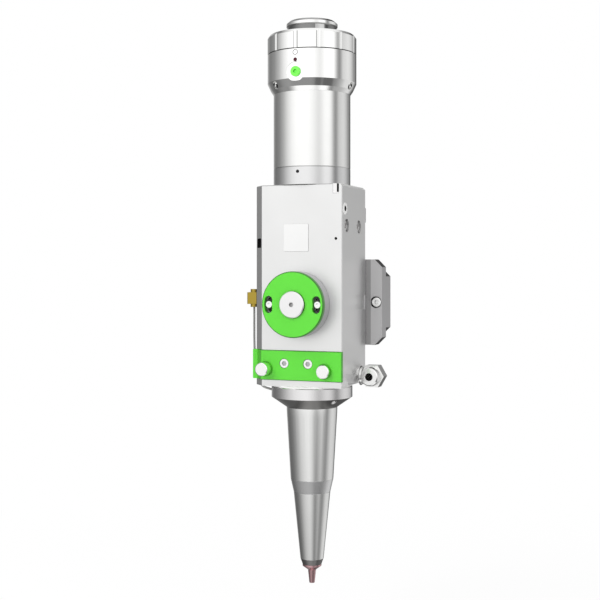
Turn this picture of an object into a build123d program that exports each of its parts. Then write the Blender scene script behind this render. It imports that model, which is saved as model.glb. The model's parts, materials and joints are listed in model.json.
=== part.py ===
# Laser cutting head that hangs on a machine carriage by its back plate. All sizes are in millimetres.
# The origin is the centre of the back plate's rear face, level with the focus dial's axis.
# Z points up along the beam towards the fibre, the front faces -Y, and +X is to the right from the front.
import os
from math import asin, cos, pi, radians, sin, sqrt, tan

from build123d import *

os.makedirs("parts", exist_ok=True)

# Clearances
run_gap = 0.07       # radial, in every fit that turns or slides
seat_gap = 0.05      # radial, between pieces that stay seated
free_gap = 0.3       # between pieces that pass each other

# Housing block
body_left = 38.8
body_right = 34.7
body_depth = 54.0
body_top = 91.1
body_bottom = 63.0
corner_chamfer = 7.9
edge_chamfer = 0.6
right_top_chamfer = 1.8

# Back plate: its wings stand out on both sides, and its rear layer has larger corner cuts
plate_thickness = 22.3
plate_rear_layer = 11.9
plate_half_width = 48.7
plate_half_height = 33.9
plate_centre_z = 0.5
front_corner_cut = 6.1
rear_corner_cut = 13.5
plate_relief_width = 4.6
plate_relief = 1.5
wing_screw_x = 43.6
wing_screw_head_radius = 4.2
wing_screw_head_height = 2.6
wing_screw_radius = 2.5
wing_screw_sink = 4.0
wing_screw_gap = 0.4
wing_screw_floor = 1.0
mount_spacing_x = 56.0
mount_spacing_z = 48.0
mount_hole_radius = 2.5
plate_bolt_spacing_x = 34.0
plate_bolt_spacing_z = 30.0
plate_bolt_head_radius = 4.0
plate_bolt_head_height = 4.5
plate_bolt_radius = 2.4
plate_bolt_reach = 10.5
plate_bolt_length = plate_thickness - plate_bolt_head_height + plate_bolt_reach

# Beam axis and the planes of the block's faces
beam_y = -(plate_thickness + body_depth / 2)
front_y = beam_y - body_depth / 2
rear_y = -plate_thickness
beam_axis = Axis((0, beam_y, 0), (0, 0, 1))
beam_section = Plane.XZ.offset(-beam_y)
front_plane = Plane.XZ.offset(-front_y)
right_plane = Plane.YZ.offset(body_right)
left_plane = Plane(origin=(-body_left, 0, 0), x_dir=(0, -1, 0), z_dir=(-1, 0, 0))
rear_plane = Plane(origin=(0, rear_y, 0), x_dir=(-1, 0, 0), z_dir=(0, 1, 0))
plate_plane = Plane(origin=(0, 0, plate_centre_z), x_dir=(1, 0, 0), z_dir=(0, -1, 0))
# how far a line set off from both faces of the bevelled corner moves along a face
corner_step = tan(radians(45) / 2)

# Collimator base, tube and its lens cell
tube_radius = 30.0
base_height = 13.6
seam_chamfer = 0.4
base_spigot_radius = 24.0
base_spigot_length = 11.8
base_bore_radius = 16.0
tube_length = 57.5
tube_spigot_radius = 26.0
tube_spigot_length = 9.0
tube_socket_spigot_length = 6.0
cell_radius = 20.0
cell_length = 45.0
cell_aperture_radius = 13.5
cell_lens_depth = 30.0
tube_aperture_radius = 15.0
lens_radius = 15.0
lens_edge = 3.0
lens_crown = 2.0
spacer_height = 6.0
spacer_wall = 2.2
retainer_height = 5.0
retainer_wall = 2.4
retainer_notch = 2.0
base_screw_radius = 1.25
base_screw_length = 3.0
base_screw_drop = 3.9
base_screw_count = 3

# Fibre socket, its collar and the locking ring
collar_radius = 34.7
collar_height = 30.9
lower_bevel_height = 3.1
lower_bevel_radius = 32.1
upper_bevel_height = 8.7
ring_seam = 0.7
washer_inner_radius = 24.2
washer_outer_radius = 33.8
lock_ring_height = 14.5
lock_ring_chamfer_width = 1.7
lock_ring_chamfer_height = 2.3
flute_count = 12
flute_width = 4.0
flute_radius = 3.2
socket_shank_radius = 18.9
socket_thread_length = 22.0
socket_neck = 6.5
socket_lip_radius = 20.0
socket_lip_height = 4.8
socket_lip_crown_width = 2.2
socket_lip_crown_height = 1.9
socket_lip_chamfer = 0.8
socket_bore_radius = 12.5
socket_bore_chamfer = 1.4
socket_floor_thickness = 3.5
socket_aperture_radius = 8.0
ring_turn = 60.0
stop_pin_radius = 1.5
stop_pin_place = 21.7
stop_pin_rise = 2.6
stop_pin_depth = 8.0
index_mark_drop = 2.8
index_mark_radius = 2.1
index_mark_line = 0.45
index_mark_depth = 0.35
index_dot_drop = 8.4
index_dot_radius = 1.5
index_dot_depth = 1.6
purge_plug_drop = 17.2
purge_plug_radius = 3.9
purge_plug_height = 1.4
purge_plug_shank_radius = 2.6
purge_plug_shank_length = 5.0
spotface_radius = 7.5
spotface_depth = 0.95
collar_screw_count = 3
collar_screw_azimuth = -36.0
collar_screw_drop = 25.6
collar_screw_radius = 2.0
collar_pocket_radius = 2.9
collar_pocket_floor = 31.6

# Window above the focusing chamber
upper_window_radius = 20.0
upper_window_thickness = 3.0
window_clamp_height = 2.8
window_clamp_wall = 3.0
window_seat_depth = 6.1

# Focusing carriage and its follower
carriage_radius = 18.5
carriage_height = 44.0
carriage_bore_radius = 13.5
carriage_lens_seat = 8.0
carriage_flat = 16.7
carriage_floor_gap = 8.0
key_width = 4.0
key_depth = 4.6
key_reach = 2.4
key_height = 58.0
follower_thickness = 3.0
follower_half_height = 4.0
follower_right = 14.4
follower_left = 9.0
follower_screw_x = 5.0
follower_screw_radius = 1.2
follower_screw_head_radius = 2.2
follower_screw_head_height = 1.4
follower_screw_length = 4.6

# Focus dial with its hub, bush and locking screws
dial_radius = 25.0
dial_thickness = 13.6
dial_face_thickness = 3.6
dial_edge_chamfer = 0.8
hub_radius = 10.1
hub_rise = 2.0
hub_chamfer = 0.7
hub_socket_radius = 1.9
hub_socket_depth = 3.0
shaft_radius = 14.5
shaft_collar_depth = 3.0
bush_wall = 2.0
shaft_gap = 0.9
pin_offset = 12.0
pin_radius = 1.8
pin_length = 3.4
dial_pocket_margin = 2.2
slot_place = 19.6
slot_head_half_width = 3.1
slot_head_depth = 5.0
slot_swing = 10.0
slot_starts = (-slot_swing, 180 - slot_swing)
lock_screw_head_radius = 2.75
lock_screw_head_height = 3.4
lock_screw_radius = 2.0
lock_screw_bite = 6.5

# Window drawer, its cover and its two captive screws
drawer_top = -35.5
drawer_bottom = -58.1
cover_thickness = 3.0
cover_proud = 1.1
cover_tab_left = 41.2
cover_tab_front = 6.0
cover_tab_back = 10.6
tray_half_width = 17.5
tray_height = 14.8
tray_center_z = -47.3
drawer_window_radius = 15.0
drawer_window_thickness = 5.0
drawer_window_floor = 3.0
window_ring_height = 2.6
window_ring_wall = 1.8
seal_section = 1.2
cover_screw_left_x = -11.9
cover_screw_right_x = 7.5
cover_screw_z = -45.3
cover_screw_head_radius = 3.7
cover_screw_head_height = 1.7
cover_screw_radius = 2.0
cover_screw_length = 9.0
cover_screw_sink = 0.2
left_knob_x = -27.2
left_knob_z = -49.7
left_knob_radius = 5.1
left_knob_length = 8.8
right_knob_x = 20.8
right_knob_z = -50.5
right_knob_radius = 5.2
right_knob_length = 4.0
knob_shank_radius = 2.0
knob_shank_length = 12.0
knob_chamfer = 0.5
knob_collar_radius = 3.1
knob_collar_height = 0.9
knob_recess_gap = 0.7
knob_recess_depth = 0.8

# Nozzle end
insulator_thickness = 1.0
insulator_radius = 31.2
flange_radius = 31.6
flange_rim_height = 8.6
flange_cone_height = 8.1
plenum_radius = 25.0
plenum_depth = 2.5
beam_bore_radius = 13.5
flange_screw_azimuths = (58.0, 140.0, -140.0, -58.0)
flange_screw_place = 28.2
flange_screw_head_radius = 2.4
flange_screw_head_height = 3.0
flange_screw_radius = 1.5
flange_screw_length = 12.0
flange_screw_seat = 3.4
upper_tube_top_radius = 19.8
upper_tube_straight = 2.6
upper_tube_length = 56.0
upper_tube_end_radius = 16.7
upper_tube_spigot_radius = 17.0
upper_tube_spigot_length = 8.8
upper_tube_bore_end = 11.6
joint_ring_height = 10.2
joint_ring_end_radius = 14.35
joint_spigot_radius = 13.4
joint_spigot_length = 8.0
joint_bore_radius = 9.6
lower_tube_length = 52.1
lower_tube_end_radius = 9.1
lower_tube_bevel = 4.5
lower_tube_tip_radius = 7.5
lower_tube_spigot_radius = 11.8
lower_tube_spigot_length = 6.0
lower_tube_bore_top = 8.6
lower_tube_bore_end = 5.6
sleeve_radius = 6.7
sleeve_length = 10.5
nozzle_thread_radius = 4.6
nozzle_thread_length = 7.5
nozzle_flange_radius = 7.4
nozzle_flange_height = 1.5
nozzle_shoulder_height = 3.2
nozzle_neck_radius = 3.15
nozzle_tip_radius = 2.1
nozzle_tip_length = 10.2
nozzle_funnel_radius = 3.6
nozzle_orifice_radius = 0.75
nozzle_orifice_length = 2.0

# Gas inlet on the right
gas_z = -56.7
gas_nose_x = 45.1
gas_leg_y = 16.5
gas_leg_radius = 6.9
gas_leg_bore = 2.0
gas_washer_thickness = 0.5
gas_washer_radius = 7.6
gas_hex_flats = 17.0
gas_hex_length = 9.0
gas_nose_radius = 7.6
gas_nose_front_radius = 7.0
gas_nose_chamfer = 0.8
gas_nose_collar = 2.4
gas_nose_length = 7.0
gas_hose_radius = 3.0
gas_drop_x = 15.6
gas_drop_bore = 1.6

# Sensor connector and its lead on the left
jack_z = 3.7
jack_depth_place = -2.5
jack_flange = 9.4
jack_flange_thickness = 1.4
jack_radius = 3.0
jack_thread_length = 6.0
jack_reach = 3.6
plug_axis_x = -48.5
plug_width = 8.6
plug_depth = 9.0
plug_height = 9.3
plug_stub_radius = 2.9
plug_top_stub = 2.5
plug_bottom_stub = 2.4
plug_nut_flats = 7.8
plug_nut_gap = 0.5
plug_chamfer = 0.5
lead_radius = 0.85
lead_drop = 28.0
lead_turn_right = 1.2
lead_turn_forward = 0.6
lead_turn_z = -51.0
lead_low_right = 4.1
lead_low_forward = 1.4
lead_low_z = -60.8
lead_end_left = 9.1
lead_end_forward = 2.2
lead_end_rise = 2.0

# Small features of the block
badge_width = 20.5
badge_height = 21.0
badge_center_x = -2.5
badge_center_z = 50.6
badge_thickness = 0.8
badge_recess = 0.5
side_screw_z = 59.7
side_screw_front = -16.2
side_screw_rear = 11.8
side_screw_pocket_radius = 5.0
side_screw_pocket_depth = 5.0
side_screw_head_radius = 4.4
side_screw_head_height = 3.6
side_screw_radius = 2.4
side_screw_length = 10.0
vent_y = -21.0
vent_z = 72.4
vent_radius = 4.5
vent_rise = 0.6
vent_bore_radius = 2.1
vent_length = 7.0
corner_key_left = 27.4
corner_key_right = 32.2
corner_key_drop = 7.4
corner_key_depth = 6.0
corner_key_slot_x = 31.5
corner_key_slot_width = 1.7
corner_key_slot_depth = 6.5
gauge_hole_x = 29.8
gauge_hole_z = 49.7
gauge_hole_radius = 1.1
gauge_hole_depth = 3.0
latch_recess_bottom = 43.1
latch_recess_height = 7.3
latch_recess_width = 8.2
latch_recess_depth = 2.2
side_groove_top = 6.6
side_groove_bottom = -4.8
side_groove_front = 3.0
side_groove_depth = 0.7
heel_front_height = 10.0
heel_rear_height = 6.0
heel_band = 6.6
heel_cut = 2.9
heel_front = -21.5
heel_slant = 7.9
rear_port_x = 28.0
rear_port_z = 69.5
rear_port_half_width = 6.3
rear_port_height = 12.8
rear_port_corner = 1.6
rear_port_rise = 3.6
rear_port_shank_radius = 4.0
rear_port_shank_length = 8.0
rear_port_hex_radius = 2.4

# Heights that follow from the stack along the beam
base_top = body_top + base_height
tube_top = base_top + tube_length
collar_top = tube_top + collar_height
lock_ring_bottom = collar_top + ring_seam
washer_thickness = ring_seam - run_gap
lock_ring_top = lock_ring_bottom + lock_ring_height
socket_lip_bottom = lock_ring_top + socket_neck
socket_top = socket_lip_bottom + socket_lip_height
socket_bottom = collar_top - socket_thread_length
insulator_bottom = -body_bottom - insulator_thickness
flange_rim_bottom = insulator_bottom - flange_rim_height
flange_bottom = flange_rim_bottom - flange_cone_height
upper_tube_bottom = flange_bottom - upper_tube_length
joint_bottom = upper_tube_bottom - joint_ring_height
lower_tube_cone_end = joint_bottom - lower_tube_length
lower_tube_bottom = lower_tube_cone_end - lower_tube_bevel
nozzle_top = lower_tube_bottom + nozzle_thread_length
nozzle_shoulder_z = lower_tube_bottom - nozzle_flange_height
nozzle_neck_z = nozzle_shoulder_z - nozzle_shoulder_height
nozzle_bottom = nozzle_neck_z - nozzle_tip_length

# Places that several pieces share
chamber_radius = carriage_radius + run_gap
key_inner = beam_y + carriage_radius - key_reach
chamber_top = body_top - base_spigot_length - window_seat_depth
chamber_bottom = -(carriage_height / 2 + carriage_floor_gap)
collar_screw_length = collar_pocket_floor - tube_spigot_radius - seat_gap
bush_inner_radius = shaft_radius + run_gap
bush_outer_radius = bush_inner_radius + bush_wall
dial_back_y = front_y - free_gap
dial_front_y = dial_back_y - dial_thickness
follower_front_y = beam_y - carriage_flat - follower_thickness
shaft_end_y = follower_front_y - shaft_gap
bush_length = shaft_end_y - front_y
dial_pocket_depth = beam_y - carriage_flat + dial_pocket_margin - front_y
tray_bottom = tray_center_z - tray_height / 2
cover_front_y = front_y - cover_proud
cover_back_y = cover_front_y + cover_thickness
tray_seat_y = cover_back_y + seat_gap


def cap_screw(head_radius, head_height, shank_radius, shank_length, socket=0.55):
    """A socket screw along +Z: its head stands on the XY plane and its shank hangs below it."""
    with BuildPart() as screw:
        Cylinder(head_radius, head_height, align=(Align.CENTER, Align.CENTER, Align.MIN))
        chamfer(screw.edges().group_by(Axis.Z)[-1], min(0.3, head_height / 6))
        Cylinder(shank_radius, shank_length, align=(Align.CENTER, Align.CENTER, Align.MAX))
        with BuildSketch(Plane.XY.offset(head_height)):
            RegularPolygon(head_radius * socket, 6)
        extrude(amount=-head_height * 0.55, mode=Mode.SUBTRACT)
    return screw.part


def grub_screw(radius, length):
    """A headless screw along +Z with its socket end on the XY plane."""
    with BuildPart() as screw:
        Cylinder(radius, length, align=(Align.CENTER, Align.CENTER, Align.MAX))
        with BuildSketch():
            RegularPolygon(radius * 0.5, 6)
        extrude(amount=-length * 0.4, mode=Mode.SUBTRACT)
    return screw.part


def crown_point(radius, crown):
    """How far out and how high a lens's arc is halfway between its rim and its centre."""
    bend = (radius**2 + crown**2) / (2 * crown)
    half_angle = asin(radius / bend) / 2
    return bend * sin(half_angle), crown - bend * (1 - cos(half_angle))


def around_beam(azimuth, radius, z):
    """A plane that faces out from the beam axis, turned from the front towards +X by the azimuth."""
    out = (sin(radians(azimuth)), -cos(radians(azimuth)), 0)
    side = (cos(radians(azimuth)), sin(radians(azimuth)), 0)
    return Plane(origin=(radius * out[0], beam_y + radius * out[1], z), x_dir=side, z_dir=out)


screw_planes = [around_beam(azimuth, flange_screw_place, 0) for azimuth in flange_screw_azimuths]
screw_places = [(plane.origin.X, plane.origin.Y) for plane in screw_planes]


# Fibre socket: the turned sleeve that the fibre connector slides into
with BuildPart() as fibre_socket:
    bore_floor = socket_bottom + socket_floor_thickness
    with BuildSketch(beam_section):
        with BuildLine():
            Polyline(
                (socket_aperture_radius, socket_bottom),
                (socket_shank_radius, socket_bottom),
                (socket_shank_radius, socket_lip_bottom),
                (socket_lip_radius - socket_lip_chamfer, socket_lip_bottom),
                (socket_lip_radius, socket_lip_bottom + socket_lip_chamfer),
                (socket_lip_radius, socket_top - socket_lip_crown_height),
                (socket_lip_radius - socket_lip_crown_width, socket_top),
                (socket_bore_radius + socket_bore_chamfer, socket_top),
                (socket_bore_radius, socket_top - socket_bore_chamfer),
                (socket_bore_radius, bore_floor),
                (socket_aperture_radius, bore_floor),
                close=True,
            )
        make_face()
    revolve(axis=beam_axis)
fibre_socket.part.label = "fibre_socket"
export_step(fibre_socket.part, "parts/fibre_socket.step")

# Locking ring: turns on the socket's shank and clamps the connector
with BuildPart() as lock_ring:
    with BuildSketch(beam_section):
        with BuildLine():
            Polyline(
                (socket_shank_radius + run_gap, lock_ring_bottom),
                (collar_radius, lock_ring_bottom),
                (collar_radius, lock_ring_top - lock_ring_chamfer_height),
                (collar_radius - lock_ring_chamfer_width, lock_ring_top),
                (socket_shank_radius + run_gap, lock_ring_top),
                close=True,
            )
        make_face()
    revolve(axis=beam_axis)
    # shallow grip flutes down the rim
    flute_center = collar_radius + sqrt(flute_radius**2 - (flute_width / 2) ** 2)
    with BuildSketch(Plane.XY.offset(lock_ring_bottom)):
        with Locations((0, beam_y)):
            with PolarLocations(flute_center, flute_count, start_angle=-90):
                Circle(flute_radius)
    extrude(amount=lock_ring_height, mode=Mode.SUBTRACT)
    # arc groove in the underside that the stop pin runs in
    with BuildSketch(Plane.XY.offset(lock_ring_bottom)):
        with Locations((0, beam_y)):
            SlotArc(
                CenterArc((0, 0), stop_pin_place, 90 - ring_turn, ring_turn, mode=Mode.PRIVATE),
                2 * (stop_pin_radius + free_gap),
            )
    extrude(amount=stop_pin_rise + free_gap, mode=Mode.SUBTRACT)
lock_ring.part.label = "lock_ring"
export_step(lock_ring.part, "parts/lock_ring.step")

# Thrust washer in the seam under the locking ring
with BuildPart() as thrust_washer:
    with BuildSketch(Plane.XY.offset(collar_top)):
        with Locations((0, beam_y)):
            Circle(washer_outer_radius)
            Circle(washer_inner_radius, mode=Mode.SUBTRACT)
    extrude(amount=washer_thickness)
thrust_washer.part.label = "thrust_washer"
export_step(thrust_washer.part, "parts/thrust_washer.step")

# Stop pin that limits the ring's turn
with BuildPart() as ring_stop_pin:
    with BuildSketch(Plane.XY.offset(collar_top - stop_pin_depth)):
        with Locations((0, beam_y + stop_pin_place)):
            Circle(stop_pin_radius)
    extrude(amount=stop_pin_depth + ring_seam + stop_pin_rise)
ring_stop_pin.part.label = "ring_stop_pin"
export_step(ring_stop_pin.part, "parts/ring_stop_pin.step")

# Socket collar: carries the socket on the tube, with its marks on the front
with BuildPart() as socket_collar:
    collar_bore = socket_shank_radius + seat_gap
    spigot_bore = tube_spigot_radius + seat_gap
    spigot_floor = tube_top + tube_socket_spigot_length + seat_gap
    with BuildSketch(beam_section):
        with BuildLine():
            Polyline(
                (spigot_bore, tube_top),
                (tube_radius, tube_top),
                (lower_bevel_radius, tube_top + lower_bevel_height),
                (collar_radius, tube_top + upper_bevel_height),
                (collar_radius, collar_top),
                (collar_bore, collar_top),
                (collar_bore, spigot_floor),
                (spigot_bore, spigot_floor),
                close=True,
            )
        make_face()
    revolve(axis=beam_axis)
    # spot face and hole for the plug, then the hole for the dot
    with BuildSketch(around_beam(0, collar_radius - spotface_depth, 0)):
        with Locations((0, collar_top - purge_plug_drop)):
            Circle(spotface_radius)
    extrude(amount=spotface_depth + 1, mode=Mode.SUBTRACT)
    with BuildSketch(around_beam(0, collar_radius, 0)):
        with Locations((0, collar_top - purge_plug_drop)):
            Circle(purge_plug_shank_radius + seat_gap)
    extrude(amount=-(spotface_depth + purge_plug_shank_length + seat_gap), mode=Mode.SUBTRACT)
    with BuildSketch(around_beam(0, collar_radius, 0)):
        with Locations((0, collar_top - index_dot_drop)):
            Circle(index_dot_radius)
    extrude(amount=-index_dot_depth, mode=Mode.SUBTRACT)
    # engraved ring that marks the open position
    with BuildSketch(around_beam(0, collar_radius - index_mark_depth, 0)):
        with Locations((0, collar_top - index_mark_drop)):
            Circle(index_mark_radius)
            Circle(index_mark_radius - index_mark_line, mode=Mode.SUBTRACT)
    extrude(amount=index_mark_depth + 1, mode=Mode.SUBTRACT)
    # clamping screws sit in pockets on the underside bevel and press on the tube's spigot
    for turn in range(collar_screw_count):
        azimuth = collar_screw_azimuth + turn * 360 / collar_screw_count
        with BuildSketch(around_beam(azimuth, collar_pocket_floor, collar_top - collar_screw_drop)):
            Circle(collar_pocket_radius)
        extrude(amount=collar_radius, mode=Mode.SUBTRACT)
        with BuildSketch(around_beam(azimuth, collar_pocket_floor, collar_top - collar_screw_drop)):
            Circle(collar_screw_radius + seat_gap)
        extrude(amount=-(collar_screw_length + 1), mode=Mode.SUBTRACT)
    with BuildSketch(Plane.XY.offset(collar_top)):
        with Locations((0, beam_y + stop_pin_place)):
            Circle(stop_pin_radius + seat_gap)
    extrude(amount=-(stop_pin_depth + seat_gap), mode=Mode.SUBTRACT)
socket_collar.part.label = "socket_collar"
export_step(socket_collar.part, "parts/socket_collar.step")

# Enamel dot that marks the locked position
with BuildPart() as index_dot:
    with BuildSketch(around_beam(0, collar_radius - index_dot_depth + seat_gap, 0)):
        with Locations((0, collar_top - index_dot_drop)):
            Circle(index_dot_radius - seat_gap)
    extrude(amount=index_dot_depth)
index_dot.part.label = "index_dot"
export_step(index_dot.part, "parts/index_dot.step")

# Green plug that closes the purge port in the collar
with BuildPart() as purge_plug:
    plug_z = collar_top - purge_plug_drop
    plug_seat = collar_radius - spotface_depth
    with BuildSketch(around_beam(0, plug_seat, plug_z)):
        Circle(purge_plug_radius)
    extrude(amount=purge_plug_height)
    fillet(purge_plug.edges().group_by(Axis.Y)[0], purge_plug_height / 3)
    with BuildSketch(around_beam(0, plug_seat, plug_z)):
        Circle(purge_plug_shank_radius)
    extrude(amount=-purge_plug_shank_length)
    with BuildSketch(around_beam(0, plug_seat + purge_plug_height, plug_z)):
        RegularPolygon(purge_plug_radius * 0.45, 6)
    extrude(amount=-purge_plug_height * 0.8, mode=Mode.SUBTRACT)
purge_plug.part.label = "purge_plug"
export_step(purge_plug.part, "parts/purge_plug.step")

# Clamping screws of the collar
with BuildPart() as collar_screws:
    for turn in range(collar_screw_count):
        azimuth = collar_screw_azimuth + turn * 360 / collar_screw_count
        with Locations(around_beam(azimuth, collar_pocket_floor, collar_top - collar_screw_drop)):
            add(grub_screw(collar_screw_radius, collar_screw_length))
collar_screws.part.label = "collar_screws"
export_step(collar_screws.part, "parts/collar_screws.step")

# Collimator tube with a spigot at each end
with BuildPart() as collimator_tube:
    tube_bore = cell_radius + seat_gap
    cell_bottom = base_top - tube_spigot_length
    cell_shoulder = cell_bottom + cell_length + seat_gap
    with BuildSketch(beam_section):
        with BuildLine():
            Polyline(
                (tube_bore, base_top - tube_spigot_length),
                (tube_spigot_radius, base_top - tube_spigot_length),
                (tube_spigot_radius, base_top),
                (tube_radius - seam_chamfer, base_top),
                (tube_radius, base_top + seam_chamfer),
                (tube_radius, tube_top),
                (tube_spigot_radius, tube_top),
                (tube_spigot_radius, tube_top + tube_socket_spigot_length),
                (tube_aperture_radius, tube_top + tube_socket_spigot_length),
                (tube_aperture_radius, cell_shoulder),
                (tube_bore, cell_shoulder),
                close=True,
            )
        make_face()
    revolve(axis=beam_axis)
collimator_tube.part.label = "collimator_tube"
export_step(collimator_tube.part, "parts/collimator_tube.step")

# Collimating lens cell inside the tube
with BuildPart() as collimator_cell:
    cell_seat = lens_radius + seat_gap
    lens_shoulder = cell_bottom + cell_lens_depth
    with BuildSketch(beam_section):
        with BuildLine():
            Polyline(
                (cell_seat, cell_bottom),
                (cell_radius, cell_bottom),
                (cell_radius, cell_bottom + cell_length),
                (cell_aperture_radius, cell_bottom + cell_length),
                (cell_aperture_radius, lens_shoulder),
                (cell_seat, lens_shoulder),
                close=True,
            )
        make_face()
    revolve(axis=beam_axis)
collimator_cell.part.label = "collimator_cell"
export_step(collimator_cell.part, "parts/collimator_cell.step")

# Upper collimating lens, flat on the cell's shoulder and crowned below
with BuildPart() as collimator_lens_upper:
    upper_lens_top = lens_shoulder - seat_gap
    crown_radius = lens_radius - spacer_wall
    halfway, rise = crown_point(crown_radius, lens_crown)
    with BuildSketch(beam_section):
        with BuildLine():
            Polyline(
                (0, upper_lens_top - lens_edge - lens_crown),
                (0, upper_lens_top),
                (lens_radius, upper_lens_top),
                (lens_radius, upper_lens_top - lens_edge),
                (crown_radius, upper_lens_top - lens_edge),
            )
            ThreePointArc(
                (crown_radius, upper_lens_top - lens_edge),
                (halfway, upper_lens_top - lens_edge - rise),
                (0, upper_lens_top - lens_edge - lens_crown),
            )
        make_face()
    revolve(axis=beam_axis)
collimator_lens_upper.part.label = "collimator_lens_upper"
export_step(collimator_lens_upper.part, "parts/collimator_lens_upper.step")

# Spacer ring between the two lenses
with BuildPart() as lens_spacer:
    spacer_top = upper_lens_top - lens_edge - seat_gap
    with BuildSketch(Plane.XY.offset(spacer_top - spacer_height)):
        with Locations((0, beam_y)):
            Circle(lens_radius)
            Circle(lens_radius - spacer_wall, mode=Mode.SUBTRACT)
    extrude(amount=spacer_height)
lens_spacer.part.label = "lens_spacer"
export_step(lens_spacer.part, "parts/lens_spacer.step")

# Lower collimating lens, crowned up into the spacer
with BuildPart() as collimator_lens_lower:
    lower_lens_top = spacer_top - spacer_height - seat_gap
    with BuildSketch(beam_section):
        with BuildLine():
            Polyline(
                (0, lower_lens_top + lens_crown),
                (0, lower_lens_top - lens_edge),
                (lens_radius, lower_lens_top - lens_edge),
                (lens_radius, lower_lens_top),
                (crown_radius, lower_lens_top),
            )
            ThreePointArc(
                (crown_radius, lower_lens_top),
                (halfway, lower_lens_top + rise),
                (0, lower_lens_top + lens_crown),
            )
        make_face()
    revolve(axis=beam_axis)
collimator_lens_lower.part.label = "collimator_lens_lower"
export_step(collimator_lens_lower.part, "parts/collimator_lens_lower.step")

# Threaded ring that holds the lens stack, with two spanner notches
with BuildPart() as cell_retainer:
    retainer_top = lower_lens_top - lens_edge - seat_gap
    with BuildSketch(Plane.XY.offset(retainer_top - retainer_height)):
        with Locations((0, beam_y)):
            Circle(lens_radius)
            Circle(lens_radius - retainer_wall, mode=Mode.SUBTRACT)
    extrude(amount=retainer_height)
    with BuildSketch(Plane.XY.offset(retainer_top - retainer_height)):
        with Locations((0, beam_y)):
            Rectangle(2 * lens_radius + 1, retainer_notch)
    extrude(amount=retainer_height / 3, mode=Mode.SUBTRACT)
cell_retainer.part.label = "cell_retainer"
export_step(cell_retainer.part, "parts/cell_retainer.step")

# Collimator base: clamps the tube on the housing
with BuildPart() as collimator_base:
    tube_pocket = tube_spigot_radius + seat_gap
    with BuildSketch(beam_section):
        with BuildLine():
            Polyline(
                (base_bore_radius, body_top - base_spigot_length),
                (base_spigot_radius, body_top - base_spigot_length),
                (base_spigot_radius, body_top),
                (tube_radius, body_top),
                (tube_radius, base_top - seam_chamfer),
                (tube_radius - seam_chamfer, base_top),
                (tube_pocket, base_top),
                (tube_pocket, base_top - tube_spigot_length - seat_gap),
                (base_bore_radius, base_top - tube_spigot_length - seat_gap),
                close=True,
            )
        make_face()
    revolve(axis=beam_axis)
    for turn in range(base_screw_count):
        screw_turn = turn * 360 / base_screw_count
        with BuildSketch(around_beam(screw_turn, tube_radius, base_top - base_screw_drop)):
            Circle(base_screw_radius + seat_gap)
        extrude(amount=-(tube_radius - tube_spigot_radius + 1), mode=Mode.SUBTRACT)
collimator_base.part.label = "collimator_base"
export_step(collimator_base.part, "parts/collimator_base.step")

# Grub screws that press on the tube's spigot
with BuildPart() as base_screws:
    for turn in range(base_screw_count):
        screw_face = tube_spigot_radius + seat_gap + base_screw_length
        azimuth = turn * 360 / base_screw_count
        with Locations(around_beam(azimuth, screw_face, base_top - base_screw_drop)):
            add(grub_screw(base_screw_radius, base_screw_length))
base_screws.part.label = "base_screws"
export_step(base_screws.part, "parts/base_screws.step")

# Window that keeps dust out of the collimator
with BuildPart() as upper_window:
    with BuildSketch(Plane.XY.offset(chamber_top)):
        with Locations((0, beam_y)):
            Circle(upper_window_radius)
    extrude(amount=upper_window_thickness)
upper_window.part.label = "upper_window"
export_step(upper_window.part, "parts/upper_window.step")

# Ring that clamps that window
with BuildPart() as window_clamp:
    with BuildSketch(Plane.XY.offset(chamber_top + upper_window_thickness + seat_gap)):
        with Locations((0, beam_y)):
            Circle(upper_window_radius)
            Circle(upper_window_radius - window_clamp_wall, mode=Mode.SUBTRACT)
    extrude(amount=window_clamp_height)
window_clamp.part.label = "window_clamp"
export_step(window_clamp.part, "parts/window_clamp.step")

# What the heel takes off the housing: a bevel that sinks towards the back, with a slanted front end
with BuildPart() as heel_cutter:
    heel_length = body_depth / 2 - heel_front
    heel_rise = heel_front_height - heel_rear_height
    heel_top = -body_bottom + heel_rear_height
    heel_floor = -body_bottom - heel_rise - 1
    with BuildSketch(Plane.XZ.offset(-rear_y)):
        with BuildLine():
            Polyline(
                (body_right - heel_cut, heel_top - heel_band),
                (body_right, heel_top),
                (body_right + 1, heel_top),
                (body_right + 1, heel_floor),
                (body_right - heel_cut, heel_floor),
                close=True,
            )
        make_face()
    extrude(amount=sqrt(heel_length**2 + heel_rise**2), dir=(0, -heel_length, heel_rise))
    with BuildSketch(Plane.YZ.offset(body_right - heel_cut - 1)):
        with BuildLine():
            Polyline(
                (beam_y + heel_front, heel_top + heel_rise + 1),
                (beam_y + heel_front, heel_top + heel_rise),
                (beam_y + heel_front + heel_slant, heel_top + heel_rise - heel_band),
                (beam_y + heel_front + heel_slant, heel_floor - 1),
                (rear_y + 1, heel_floor - 1),
                (rear_y + 1, heel_top + heel_rise + 1),
                close=True,
            )
        make_face()
    extrude(amount=heel_cut + 3, mode=Mode.INTERSECT)

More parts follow.
